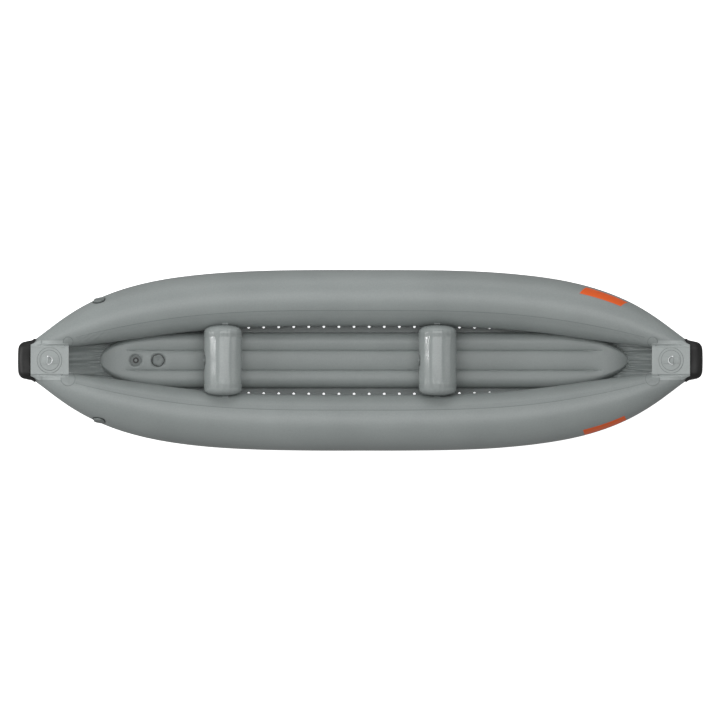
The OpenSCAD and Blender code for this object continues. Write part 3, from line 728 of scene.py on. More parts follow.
@dataclass
class SideTube:
    """A side tube that thins towards both ends, with the seam tape and the flash glued on it."""

    side: Side
    columns: int = 400
    rows: int = 96
    tape_width: float = 26 * MM
    tape_angle: float = 122.0
    tape_end: float = 1.615
    tape_wall: float = 0.45 * MM
    glue: float = 3.5 * MM
    flash_middle: float = 1.340
    flash_length: float = 0.226
    flash_height: float = 68 * MM
    flash_wall: float = 0.5 * MM
    flash_low: float = field(init=False)
    flash_lean: float = field(init=False)

    def __post_init__(self) -> None:
        """Places the flash: higher on the port tube than on the starboard one."""
        port = self.side is Side.PORT
        self.flash_low, self.flash_lean = (20.0, 18 * MM) if port else (9.0, -6 * MM)

    def unevenness(self, s: float, degrees: float) -> float:
        """Returns how far the inflated skin stands off the true tube: slack creases near the decks."""
        turn = math.radians(degrees)
        spot = Vector((4 * s, 1.3 * math.cos(turn) + 7 * self.side.value, 1.3 * math.sin(turn)))
        cloudy = 0.7 * MM * noise.noise(spot)
        inboard = math.exp(-(((degrees - 140) / 30) ** 2))
        at_deck = math.exp(-(((abs(s) - 1.5) / 0.13) ** 2))
        wander = 1.4 * noise.noise(Vector((6 * s, degrees / 30, 3.0 + self.side.value)))
        pucker = 1.1 * MM * inboard * at_deck * math.sin(2 * math.pi * (26 * abs(s) - degrees / 24 + wander))
        band = math.exp(-(((degrees - 150) / 14) ** 2)) * smoothstep(0.1, 0.5, abs(s))
        drawn = 0.3 * MM * band * math.sin(2 * math.pi * (degrees / 8 + 2 * noise.noise(Vector((2.5 * s, 0, 9)))))
        return (cloudy + pucker + drawn) * min(1.0, station(s).radius / 0.06)

    def on_skin(self, s: float, degrees: float, off: float = 0.0) -> Vector:
        """Returns a point on this side's uneven skin, or off it by a clearance."""
        return sided(skin(s, degrees, off + self.unevenness(s, degrees)), self.side)

    def build(self, seat: Seat) -> list[bpy.types.Object]:
        """Builds the tube, pressed flat under its valve, its seam tape and its flash.

        Args:
            seat: The valve's seat.

        Returns:
            The tube, the tape, its glue line, drawn dark as painted shade for the tape's edge, and the flash.
        """
        label = self.side.label
        reach = LINES.tube_end - 0.3 * MM

        def tube_place(u: float, v: float) -> Vector:
            """Returns a point of the tube, which the ground flattens."""
            point = self.on_skin(reach * math.sin(math.pi * (u - 0.5)), 360 * v)
            return Vector((point.x, point.y, max(0.0, point.z)))

        mesh = spanned(self.columns, self.rows, tube_place, wrap=True)
        stretch_uv(mesh, 2 * LINES.half_length, 2 * math.pi * LINES.tube_radius)
        close_ends(mesh)
        outwards(mesh)
        seat.press(mesh)
        tube = Piece(f"{label}_side_tube", mesh, FABRIC, "tube_fabric", [f"{label}_tube"]).make()
        return [tube, self.tape(), self.adhesive(), self.flash()]

    def tape(self) -> bpy.types.Object:
        """Builds the seam tape along the inboard shoulder."""
        turn = math.degrees(self.tape_width / 2 / LINES.tube_radius)

        def place(u: float, w: float, height: float) -> Vector:
            """Returns a point of the tape."""
            s = self.tape_end * math.sin(math.pi / 2 * (2 * u - 1))
            return self.on_skin(s, self.tape_angle + turn * (2 * w - 1), 0.1 * MM + height)

        mesh = slab(240, 4, place, self.tape_wall)
        stretch_uv(mesh, 2 * self.tape_end, 2 * self.tape_width)
        name = f"{self.side.label}_shoulder_tape"
        return Piece(name, mesh, TAPE_FABRIC, "seam_tape", [f"{self.side.label}_seam_tape"]).make()

    def adhesive(self) -> bpy.types.Object:
        """Builds the glue line along the tape's upper edge, drawn dark as painted shade for the tape's edge."""
        edge = self.tape_angle - math.degrees(self.tape_width / 2 / LINES.tube_radius)
        turn = math.degrees(self.glue / LINES.tube_radius)

        def place(u: float, w: float, height: float) -> Vector:
            """Returns a point of the line."""
            s = self.tape_end * math.sin(math.pi / 2 * (2 * u - 1))
            return self.on_skin(s, edge - turn * w, height - 0.1 * MM)

        mesh = slab(240, 1, place, 0.6 * MM)
        return Piece(f"{self.side.label}_shoulder_adhesive", mesh, GLUE_AND_EDGE_SHADE, "seam_tape").make()

    def flash(self) -> bpy.types.Object:
        """Builds the plain coloured flash, a parallelogram that follows the tube."""
        turn = math.degrees(self.flash_height / LINES.girth(self.flash_middle))

        def place(u: float, w: float, height: float) -> Vector:
            """Returns a point of the flash."""
            s = self.flash_middle + self.flash_length * (u - 0.5) - self.flash_lean * (w - 0.5)
            return self.on_skin(s, self.flash_low + turn * w, 0.2 * MM + height)

        mesh = slab(48, 12, place, self.flash_wall)
        name = f"{self.side.label}_orange_flash"
        return Piece(name, mesh, FILM, "flash", [f"{self.side.label}_flash"]).make()


# ---------- floor ----------


@dataclass
class AirFloor:
    """The inflated floor: three chambers between two I-beams, domed at both ends."""

    stern_x: float = -1.446
    bow_x: float = 1.489
    width: float = 0.311
    thick: float = 0.110
    dome: float = 0.150  # how far from its tips the floor is full
    middle_z: float = 0.063
    beam_spacing: float = 0.110
    beam_height: float = 0.084
    beam_inset: float = 0.156
    stern_round: float = 0.360
    bow_round: float = 0.420
    stern_power: float = 0.50
    bow_power: float = 0.56
    crown: float = 0.45
    middle_share: float = 0.36  # how much of the section's steps the middle chamber takes
    valley_share: float = 0.22
    columns: int = 300
    rows: int = 144

    def into(self, x: float) -> float:
        """Returns the distance to the floor's nearest end."""
        return min(x - self.stern_x, self.bow_x - x)

    def half_width(self, x: float) -> float:
        """Returns half the floor's width at x."""
        length, power = (self.bow_round, self.bow_power) if x > 0 else (self.stern_round, self.stern_power)
        q = max(0.0, 1 - self.into(x) / length)
        return self.width / 2 * max(0.0, 1 - q * q) ** power

    def half_thick(self, x: float) -> float:
        """Returns half the floor's thickness at x."""
        q = max(0.0, 1 - self.into(x) / self.dome)
        return self.thick / 2 * max(0.0, 1 - q * q) ** 0.8

    def valley(self, x: float) -> float:
        """Returns how deep the valley over an I-beam is, as a share of the half thickness."""
        full = 1 - self.beam_height / self.thick
        return full * min(1.0, max(0.0, (self.into(x) - 0.8 * self.beam_inset) / (0.5 * self.beam_inset)))

    def line(self, x: float) -> Vector:
        """Returns the middle of the floor's section at x."""
        return Vector((x, 0.0, self.middle_z + LINES.rise(x)))

    def out(self, x: float) -> Vector:
        """Returns the direction out of the floor's upper face."""
        return Vector((-math.copysign(station(abs(x)).slope_z, x), 0.0, 1.0)).normalized()

    def section(self, x: float, share: float) -> tuple[float, float]:
        """Returns the distance from the middle and the height share, for a share of the way to the edge."""
        wide, depth = self.half_width(x), self.valley(x)
        seam = min(self.beam_spacing / 2, wide / 2)
        if share < self.middle_share:
            a = math.pi / 2 * share / self.middle_share
            return seam * math.sin(a), 1 - depth + depth * math.cos(a)
        share -= self.middle_share
        if share < self.valley_share:
            b = math.pi / 2 * share / self.valley_share
            return seam + (wide - seam) * self.crown * (1 - math.cos(b)), 1 - depth + depth * math.sin(b)
        c = math.pi / 2 * (share - self.valley_share) / (1 - self.middle_share - self.valley_share)
        return seam + (wide - seam) * (self.crown + (1 - self.crown) * math.sin(c)), math.cos(c)

    def place(self, u: float, v: float) -> Vector:
        """Returns a point of the floor's skin: v runs round the section from the top's middle."""
        middle, reach = (self.stern_x + self.bow_x) / 2, (self.bow_x - self.stern_x) / 2 - 0.2 * MM
        x = middle + reach * math.sin(math.pi * (u - 0.5))
        quarter = min(3, int(4 * v))
        share = 4 * v - quarter
        if quarter in (1, 3):
            share = 1 - share
        y, height = self.section(x, share)
        side = -1 if quarter in (0, 1) else 1
        face = 1 if quarter in (0, 3) else -1
        slack = 0.5 * MM * noise.noise(Vector((5 * x, 9 * y * side, face)))
        crease = 0.5 * MM * math.exp(-(((abs(y) - self.beam_spacing / 2) / 0.012) ** 2))
        tuck = crease * math.sin(2 * math.pi * (30 * x + 2 * noise.noise(Vector((7 * x, 1, side)))))
        rise = self.half_thick(x) * height * face + (slack + tuck) * face * self.half_thick(x) / self.thick * 2
        return self.line(x) + self.out(x) * rise + Vector((0.0, side * y, 0.0))

    def build(self, seats: Sequence[Seat]) -> bpy.types.Object:
        """Builds the floor, pressed flat under its two valves.

        Args:
            seats: The valves' seats.

        Returns:
            The floor.
        """
        mesh = spanned(self.columns, self.rows, self.place, wrap=True)
        stretch_uv(mesh, self.bow_x - self.stern_x, 2 * self.width)
        close_ends(mesh)
        outwards(mesh)
        for seat in seats:
            seat.press(mesh)
        floor = Piece("inflated_floor", mesh, FLOOR_FABRIC, "floor_fabric", ["floor"]).make()
        return floor


# ---------- the fabric between the floor and the tubes ----------


@dataclass
class BottomFabric:
    """The single-layer bottom: a bailing strip on each side and a puckered sheet at each end."""

    floor: AirFloor
    wall: float = 1.2 * MM
    edge_gap: float = -1.2 * MM  # below 0 the fabric laps into the floor, so that no ground shows beside it
    sheet_inset: float = 0.150
    sheet_end: float = 1.845
    corner: float = 0.2  # this share of a sheet's outer edge runs across from tube to tube
    pucker_height: float = 5.0 * MM
    pucker_reach: float = 0.018  # how far from the floor the short puckers are highest
    puckers: float = 7  # short puckers on each side of the floor's tip
    drawn_height: float = 9.0 * MM
    drawn_folds: float = 2.3  # long folds on each side of the middle
    crumple: float = 1.5 * MM
    hole: float = 14 * MM
    pitch: float = 84 * MM
    holes: int = 19
    holes_middle: float = -0.035
    hole_sides: int = 20

    @property
    def foot_angle(self) -> float:
        """Where the fabric meets a tube, in degrees round it."""
        drop = LINES.tube_radius - LINES.keel_flat - self.floor.middle_z
        return 180 + math.degrees(math.asin(drop / LINES.tube_radius))

    def foot(self, s: float) -> Vector:
        """Returns where the fabric meets the port tube."""
        return skin(s, self.foot_angle, 2 * SEAT)

    def edge(self, x: float) -> Vector:
        """Returns where the fabric meets the floor's port edge."""
        return self.floor.line(x) + Vector((0.0, self.floor.half_width(x) + self.edge_gap, 0.0))

    def strip(self, side: Side) -> bpy.types.Object:
        """Builds a bailing strip with its row of drain holes."""
        x0 = self.floor.stern_x + self.sheet_inset + SEAT
        x1 = self.floor.bow_x - self.sheet_inset - SEAT

        def place(u: float, w: float, height: float) -> Vector:
            """Returns a point of the strip, which sags a little between its seams."""
            x = mix(x0, x1, u)
            point = self.edge(x).lerp(self.foot(x), w)
            sag = -1.2 * MM * math.sin(math.pi * w) * (1 + noise.noise(Vector((9 * x, 2.0 * side.value, 0))))
            return sided(point + Vector((0, 0, sag + height - self.wall / 2)), side)

        mesh = slab(220, 6, place, self.wall)
        stretch_uv(mesh, x1 - x0, 0.1)
        cutter = bmesh.new()
        for index in range(self.holes):
            x = self.holes_middle + (index - (self.holes - 1) / 2) * self.pitch
            middle = sided(self.edge(x).lerp(self.foot(x), 0.5), side)
            bmesh.ops.create_cone(
                cutter,
                cap_ends=True,
                segments=self.hole_sides,
                radius1=self.hole / 2,
                radius2=self.hole / 2,
                depth=40 * self.wall,
                matrix=Matrix.Translation(middle),
            )
        name = f"{side.label}_bailing_fabric"
        # The strip's dark fabric is painted shade for the gap between the tube and the floor.
        strip = Piece(name, mesh, SHADED_STRIP_FABRIC, "bottom_fabric", [f"{side.label}_bailing_strip"]).make()
        cut(strip, cutter)
        width = (self.foot(0.0) - self.edge(0.0)).length
        return strip

    def sheet(self, end: End) -> bpy.types.Object:
        """Builds the sheet that closes the hull between the floor's tip and the tubes."""
        bow = end is End.BOW
        tip = self.floor.bow_x if bow else -self.floor.stern_x
        reach = self.floor.bow_round if bow else self.floor.stern_round
        power = self.floor.bow_power if bow else self.floor.stern_power
        span = math.acos(1 - self.sheet_inset / reach)

        def inner(share: float) -> Vector:
            """Returns a point on the edge that is glued to the floor."""
            a = span * share
            x = tip - reach + (reach + self.edge_gap) * math.cos(a)
            y = math.copysign((self.floor.width / 2 + self.edge_gap) * math.sin(abs(a)) ** (2 * power), share)
            return Vector((x, y, self.floor.middle_z + LINES.rise(x)))

        def outer(share: float) -> Vector:
            """Returns a point on the edge that is glued to the tubes."""
            along = max(0.0, (abs(share) - self.corner) / (1 - self.corner))
            point = self.foot(round(mix(self.sheet_end, tip - self.sheet_inset, along), 9))
            y = point.y * share / self.corner if abs(share) < self.corner else math.copysign(point.y, share)
            return Vector((point.x, y, point.z))

        def fold(share: float, w: float, length: float) -> float:
            """Returns the height of the gathers: short puckers at the floor, long folds to the corners."""
            seed = 5.0 * end.value
            wander = noise.noise(Vector((3 * share, seed, 1.0)))
            near = w * length / self.pucker_reach
            turn = 2 * math.pi * (self.puckers * share + 0.8 * wander)
            pucker = self.pucker_height * near * math.exp(1 - near) * math.sin(turn)
            sweep = 2 * math.pi * (self.drawn_folds * share + 0.3 * wander) + 0.8 * w + 0.6
            drawn = self.drawn_height * math.sin(math.pi * w) ** 0.8 * math.sin(sweep)
            fine = self.crumple * math.sin(math.pi * w) * noise.noise(Vector((5 * share, 5 * w, seed)))
            return (pucker + drawn + fine) * smoothstep(1.0, 0.9, abs(share))

        def place(u: float, w: float, height: float) -> Vector:
            """Returns a point of the sheet."""
            share = 2 * u - 1
            a, b = inner(share), outer(share)
            point = a.lerp(b, w)
            point.z += fold(share, w, (b - a).length) + height - self.wall / 2
            point.x *= end.value
            return point

        mesh = slab(200, 28, place, self.wall)
        stretch_uv(mesh, 0.5, 0.6)
        name = f"{end.label}_gathered_bottom"
        sheet = Piece(name, mesh, SHEET_FABRIC, "bottom_fabric", [f"{end.label}_bottom_sheet"]).make()
        # The area is worked back from the built sheet, not from the cut's outline, so a check of one against
        # the other passes for any shape. The outline without folds is about 0.89 of the built sheet.
        2 * self.foot(tip - self.sheet_inset).y
        return sheet

    def build(self) -> list[bpy.types.Object]:
        """Builds both strips and both sheets."""
        return [self.strip(side) for side in Side] + [self.sheet(end) for end in End]


def cut(piece: bpy.types.Object, cutter: bmesh.types.BMesh) -> None:
    """Cuts a closed mesh out of a piece for good."""
    data = bpy.data.meshes.new("cutter")
    cutter.to_mesh(data)
    cutter.free()
    tool = bpy.data.objects.new("cutter", data)
    bpy.context.scene.collection.objects.link(tool)
    modifier = piece.modifiers.new("holes", "BOOLEAN")
    modifier.operation = "DIFFERENCE"
    modifier.object = tool
    graph = bpy.context.evaluated_depsgraph_get()
    done = bpy.data.meshes.new_from_object(piece.evaluated_get(graph))
    piece.modifiers.clear()
    old = piece.data
    piece.data = done
    bpy.data.meshes.remove(old)
    bpy.data.objects.remove(tool)
    bpy.data.meshes.remove(data)


# ---------- end caps, decks and tow rings ----------


@dataclass
class EndPieces:
    """What closes one end of the hull: the moulded cap, the deck panel and its tow ring."""

    end: End
    cap_wall: float = 3.5 * MM
    cap_gap: float = 1.3 * MM
    cap_top: float = 0.074
    cap_side: float = 0.111
    nose_blunt: float = 0.75
    nose_flat: float = 0.12
    nose_pinch: float = 0.06
    dip: float = 0.10  # how much the cap draws in between the two tubes
    bulge: float = 9 * MM  # how much thicker its corners are than its wall
    recede: float = 4.5 * MM  # how far back its nose is at the shoulders
    shoulder: float = 85 * MM
    deck_length: float = 0.210
    deck_width: float = 0.164
    flange: float = 28 * MM
    wall: float = 1.6 * MM
    outer_height: float = 0.050
    inner_height: float = 0.058
    deck_from_end: float = 0.072
    steep_share: float = 0.72
    hem_width: float = 26 * MM
    hem_wall: float = 1.6 * MM
    glue: float = 3.0 * MM
    patch: float = 0.140
    patch_top: float = 0.110
    patch_wall: float = 1.4 * MM
    strap_width: float = 37 * MM
    strap_length: float = 96 * MM
    strap_wall: float = 2.0 * MM
    wire: float = 5.5 * MM
    ring_width: float = 50 * MM
    ring_leg: float = 4 * MM
    face_gap: float = 0.2 * MM
    big_patch: float = 76 * MM
    small_patch: float = 52 * MM

    @property
    def deck_x(self) -> float:
        """The middle of the deck panel, from amidships."""
        return LINES.half_length - self.deck_from_end - self.deck_length / 2

    @property
    def tilt(self) -> float:
        """How steeply the deck climbs, in radians."""
        low = LINES.height(self.deck_x - self.deck_length / 2) + self.inner_height
        high = LINES.height(self.deck_x + self.deck_length / 2) + self.outer_height
        return math.atan((high - low) / self.deck_length)

    @property
    def deck_middle(self) -> float:
        """The height of the deck panel's underside at its middle."""
        low = LINES.height(self.deck_x - self.deck_length / 2) + self.inner_height
        high = LINES.height(self.deck_x + self.deck_length / 2) + self.outer_height
        return (low + high) / 2

    def plane(self, x: float) -> float:
        """Returns the flat deck's height at x."""
        return self.deck_middle + (x - self.deck_x) * math.tan(self.tilt)

    def deck_under(self, x: float, y: float) -> float:
        """Returns the height of the deck panel's underside over a point of the plan."""
        edge = self.deck_width / 2
        if y <= edge:
            return self.plane(x)
        _, height, steep = over_tube(x, y)
        over_cap = self.cap_wall + self.cap_gap if x > LINES.half_length - self.cap_side - 0.020 else 0.0
        laid = height + (2 * SEAT + over_cap) * steep
        down = smoothstep(0.0, 1.0, (y - edge) / (self.flange / 4))
        return max(laid, mix(self.plane(x), laid, down))

    def ended(self, point: Vector) -> Vector:
        """Returns a bow point as it lies at this end."""
        return Vector((point.x * self.end.value, point.y, point.z))

    # ---- the moulded cap ----

    def cap_reach(self, cosine: float) -> float:
        """Returns how far back the cap reaches, from the cosine of the angle round it."""
        return self.cap_top + (self.cap_side - self.cap_top) * min(1.0, 1.6 * abs(cosine) ** 3)

    def cap_section(
        self, s: float, v: float, off: float, shrink: float, pinch: float, bulge: float = 0.0
    ) -> Vector:
        """Returns a point of the cap's section: half a circle on each tube and a dip between them."""
        arc = 0.36  # the share of the section's steps that each tube's half circle takes
        bridge = 0.5 - arc
        half, v = (1, v) if v < 0.5 else (-1, v - 0.5)
        radius = (LINES.girth(s) + off) * shrink
        place = station(s)
        wide = LINES.spread(s) * pinch + bulge
        if v <= arc:
            turn = math.radians(90 - 180 * v / arc)
            lean = place.outboard * math.cos(turn) + place.up * math.sin(turn) * half
            point = Vector((s, wide, LINES.height(s))) + lean * radius
            return Vector((point.x, point.y * half, point.z))
        # from under one tube, across the middle, to under the other
        w = 1 - 2 * (v - arc) / bridge
        lean = place.up * -half * (1 - self.dip * (1 - w * w) ** 2)
        return Vector((s, 0, LINES.height(s))) + lean * radius + Vector((0, wide * w * half, 0))

    def cap(self) -> bpy.types.Object:
        """Builds the cap as one moulding with an open back."""
        base = LINES.tube_end - LINES.tip_dome
        outside = self.cap_gap + self.cap_wall
        lip = 1.2 * MM
        path = (
            [("nose", 1 - k / 10, self.cap_gap) for k in range(11)]
            + [("body", 1 - k / 8, self.cap_gap) for k in range(1, 9)]
            + [("body", 0.0, outside), ("body", 0.0, outside + lip), ("body", 0.05, outside + lip)]
            + [("body", 0.09, outside)]
            + [("body", k / 8, outside) for k in range(1, 9)]
            + [("nose", k / 16, outside) for k in range(1, 17)]
        )

        def place(u: float, v: float) -> Vector:
            """Returns a point of the cap: u runs from the inside of the nose, round the lip, to the tip."""
            part, along, off = path[round(u * (len(path) - 1))]
            if part == "nose":
                q = math.pi / 2 * along
                shrink = max(self.nose_flat, math.cos(q) ** self.nose_blunt)
                pinch = 1 - self.nose_pinch * math.sin(q) ** 6
                s = base + LINES.tip_dome * math.sin(q)
                bulge = self.bulge if off > self.cap_gap else 0.0
                point = self.cap_section(round(s, 9), v, off, shrink, pinch, bulge)
                if bulge:
                    point.x -= self.recede * (point.y / self.shoulder) ** 2 * math.sin(q)
                point += Vector((off * math.sin(q), 0, 0))
            else:
                half = v if v < 0.5 else v - 0.5
                cosine = math.cos(math.radians(90 - 180 * half / 0.36)) if half < 0.36 else 0.0
                back = self.cap_reach(cosine) - (LINES.half_length - base)
                bulge = self.bulge * smoothstep(0.05, 0.75, along) if off > self.cap_gap else 0.0
                point = self.cap_section(round(base - back * (1 - along), 9), v, off, 1.0, 1.0, bulge)
            return self.ended(point)

        mesh = spanned(len(path) - 1, 144, place, wrap=True)
        close_ends(mesh)
        outwards(mesh)
        name = f"{self.end.label}_moulded_cap"
        return Piece(name, mesh, RUBBER, "cap_moulding", [f"{self.end.label}_end_cap"], sharp=50).make()

    # ---- the deck ----

    def deck_row(self, x: float, w: float, lift: float) -> Vector:
        """Returns a point of the deck's row at x, from the port flange to the starboard one."""
        edge = self.deck_width / 2
        end = max(edge + 4 * MM, min(edge + self.flange, LINES.spread(x) + self.steep_share * LINES.girth(x)))
        share = 1 - 2 * w
        flat = 0.62
        away = abs(share)
        y = edge * away / flat if away < flat else mix(edge, end, (away - flat) / (1 - flat))
        groove = -5.0 * MM * math.exp(-(((y - edge) / (3.6 * MM)) ** 2))
        welt = 2.4 * MM * math.exp(-(((y - edge - 8.5 * MM) / (4.5 * MM)) ** 2))
        ridge = 1.2 * MM * math.exp(-(((y - edge + 7.5 * MM) / (4.0 * MM)) ** 2))
        height = self.deck_under(x, y) + lift + groove + welt + ridge
        return self.ended(Vector((x, math.copysign(y, share), height)))

    def deck(self) -> bpy.types.Object:
        """Builds the deck panel: flat in the middle, folded down and glued on each tube."""
        x0 = self.deck_x - self.deck_length / 2

        def place(u: float, w: float, height: float) -> Vector:
            """Returns a point of the panel."""
            return self.deck_row(x0 + self.deck_length * u, w, height)

        mesh = slab(56, 168, place, self.wall)
        stretch_uv(mesh, self.deck_length, 4 * (self.deck_width / 2 + self.flange))
        label = self.end.label
        deck = Piece(f"{label}_deck", mesh, DECK_FABRIC, "deck_fabric", [f"{label}_deck_panel"]).make()

        def hem_place(u: float, w: float, height: float) -> Vector:
            """Returns a point of the hem along the panel's inner edge."""
            across = mix(0.14, 0.86, w)
            point = self.deck_row(x0 - 1.5 * MM + (self.hem_width + 1.5 * MM) * u, across, self.wall + height)
            return point

        hem_mesh = slab(8, 120, hem_place, self.hem_wall)
        stretch_uv(hem_mesh, self.hem_width, 2 * self.deck_width)
        hem = Piece(f"{label}_deck_hem", hem_mesh, DECK_FABRIC, "deck_fabric").make()
        extra = [self.ring_patch(), self.strap(), *self.corner(self.small_patch, 1), *self.corner(self.big_patch, -1)]
        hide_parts(f"{label}_corner_patches")
        extra += self.glue_and_shade_lines()
        return deck

    def corner(self, diameter: float, side: int) -> list[bpy.types.Object]:
        """Builds the round patch over a corner of the deck.

        Args:
            diameter: The patch's diameter.
            side: 1 on the port corner, -1 on the starboard one.

        Returns:
            The patch and the glue line round it, drawn dark as painted shade for the patch's edge.
        """
        cx = self.deck_x - self.deck_length / 2 + 2 * MM
        cy = self.deck_width / 2 + 20 * MM
        lift = self.wall + 0.5 * MM
        wall = 0.8 * MM

        def laid(radius: float, turn: float, up: float) -> Vector:
            """Returns a point over the corner, at a height over the patch's underside."""
            x, y = cx + radius * math.cos(turn), cy + radius * math.sin(turn)
            on_deck = x > cx - 2 * MM
            base = self.deck_under(max(x, cx - 2 * MM), y) if on_deck else over_tube(x, y)[1] + 2 * SEAT
            drape = smoothstep(cx - 12 * MM, cx + 1 * MM, x) if not on_deck else 1.0
            return self.ended(Vector((x, side * y, base + mix(0.4 * MM, lift, drape) + up)))

        def place(u: float, v: float) -> Vector:
            """Returns a point of the patch: u runs from its upper middle, over the rim, to its lower middle."""
            radius = diameter / 2 * max(0.02, min(1.0, 2 * u if u < 0.5 else 2 * (1 - u)))
            return laid(radius, 2 * math.pi * v, wall if u < 0.5 else 0.0)

        def glue_shade_bead(u: float, w: float, height: float) -> Vector:
            """Returns a point of the glue line round the patch, whose dark colour is painted edge shade."""
            return laid(diameter / 2 + self.glue * w, 2 * math.pi * u, height - 0.3 * MM)

        mesh = spanned(24, 56, place, wrap=True)
        close_ends(mesh)
        outwards(mesh)
        name = f"{self.end.label}_{'port' if side > 0 else 'starboard'}_corner"
        line = slab(72, 2, glue_shade_bead, 0.6 * MM)
        joined(line)
        # The second piece is a glue bead, drawn dark as painted shade for the patch's edge.
        return [
            Piece(f"{name}_patch", mesh, FABRIC, "patch_fabric").make(),
            Piece(f"{name}_adhesive", line, GLUE_AND_EDGE_SHADE, "patch_fabric").make(),
        ]

    # ---- the tow ring ----

    @property
    def base(self) -> Matrix:
        """The deck's own frame: X climbs towards the end of the hull and Z goes out of the deck."""
        middle = Vector((self.deck_x, 0.0, self.deck_middle + self.wall))
        return Matrix.Translation(middle) @ Matrix.Rotation(-self.tilt, 4, "Y")

    @property
    def strap_base(self) -> float:
        """The strap's underside over the deck."""
        return 2 * self.face_gap + 2 * self.patch_wall

    @property
    def bar(self) -> Vector:
        """The middle of the ring's bar in the deck's frame."""
        ring = (self.ring_width - self.wire) / 2
        height = self.strap_base + self.strap_wall + SEAT + self.wire / 2
        return Vector((self.ring_leg / 2 + ring / 2, 0.0, height))

    def set_down(self, mesh: bmesh.types.BMesh) -> None:
        """Moves a mesh from the deck's frame to its place at this end."""
        bmesh.ops.transform(mesh, matrix=self.base, verts=mesh.verts[:])
        if self.end is End.STERN:
            bmesh.ops.transform(mesh, matrix=Matrix.Scale(-1, 4, (1, 0, 0)), verts=mesh.verts[:])
        outwards(mesh)

    def ring_patch(self) -> bpy.types.Object:
        """Builds the two-layer round patch, whose upper layer is a little puckered."""
        edge = 0.5 * MM
        low, middle = self.face_gap, self.face_gap + self.patch_wall
        top = middle + self.patch_wall
        outer, inner = self.patch / 2, self.patch_top / 2
        profile = [(0.0, low), (outer, low), (outer, middle - edge), (outer - edge, middle), (inner + 1.2 * MM, middle)]
        profile += [(inner, middle - 0.25 * MM), (inner, top - edge), (inner - edge, top)]
        profile += [(inner * k / 6, top) for k in range(5, -1, -1)]
        mesh = turned(profile, 96)
        for vert in mesh.verts:
            radius = math.hypot(vert.co.x, vert.co.y)
            if vert.co.z > middle + edge:
                fade = 1 - smoothstep(0.6 * inner, inner, radius)
                vert.co.z += 0.35 * MM * fade * math.sin(2 * math.pi * vert.co.y / (19 * MM) + 1.0)
        self.set_down(mesh)
        label = self.end.label
        return Piece(f"{label}_tow_patch", mesh, PATCH_FABRIC, "patch_fabric", [f"{label}_ring_patch"]).make()

    def glue_and_shade_lines(self) -> list[bpy.types.Object]:
        """Builds the glue lines round the two layers of the ring's patch, drawn dark as painted shade for their edges.
        """
        made = []
        spots = (("outer", self.patch / 2, 0.0), ("inner", self.patch_top / 2, self.face_gap + self.patch_wall))
        for name, radius, base in spots:
            wide, high = self.glue, 0.7 * MM
            outline = [(radius, base), (radius + wide, base), (radius + wide, base + high / 3), (radius, base + high)]
            mesh = turned([*outline, outline[0]], 96)
            self.set_down(mesh)
            made.append(Piece(f"{self.end.label}_{name}_patch_glue_shade_line", mesh, GLUE_AND_EDGE_SHADE, "patch_fabric").make())
        return made

    def strap(self) -> bpy.types.Object:
        """Builds the strap that is glued down on both sides of the ring's bar and goes over it."""
        bar, half = self.bar, self.strap_length / 2
        hump = self.wire / 2 + self.strap_wall
        top = self.strap_base + self.strap_wall
        feet = 7 * MM
        outline = [(-half, self.strap_base), (half, self.strap_base), (half, top)]
        outline += [(bar.x + hump + feet, top), (bar.x + hump + 2 * MM, top + 0.8 * MM)]
        for k in range(13):
            turn = math.radians(-20 + 220 * k / 12)
            outline.append((bar.x + hump * math.cos(turn), bar.z + hump * math.sin(turn)))
        outline += [(bar.x - hump - 2 * MM, top + 0.8 * MM), (bar.x - hump - feet, top), (-half, top)]
        mesh = bmesh.new()
        verts = [mesh.verts.new((x, -self.strap_width / 2, z)) for x, z in outline]
        face = mesh.faces.new(verts)
        moved = bmesh.ops.extrude_face_region(mesh, geom=[face])["geom"]
        lifted = [g for g in moved if isinstance(g, bmesh.types.BMVert)]
        bmesh.ops.translate(mesh, vec=(0, self.strap_width, 0), verts=lifted)
        outwards(mesh)
        bmesh.ops.bevel(
            mesh,
            geom=[e for e in mesh.edges if e.calc_face_angle(0.0) > math.radians(60)],
            offset=0.4 * MM,
            affect="EDGES",
            segments=2,
            profile=0.5,
            material=-1,
        )
        self.set_down(mesh)
        label = self.end.label
        return Piece(f"{label}_tow_strap", mesh, PATCH_FABRIC, "patch_fabric", [f"{label}_ring_strap"]).make()

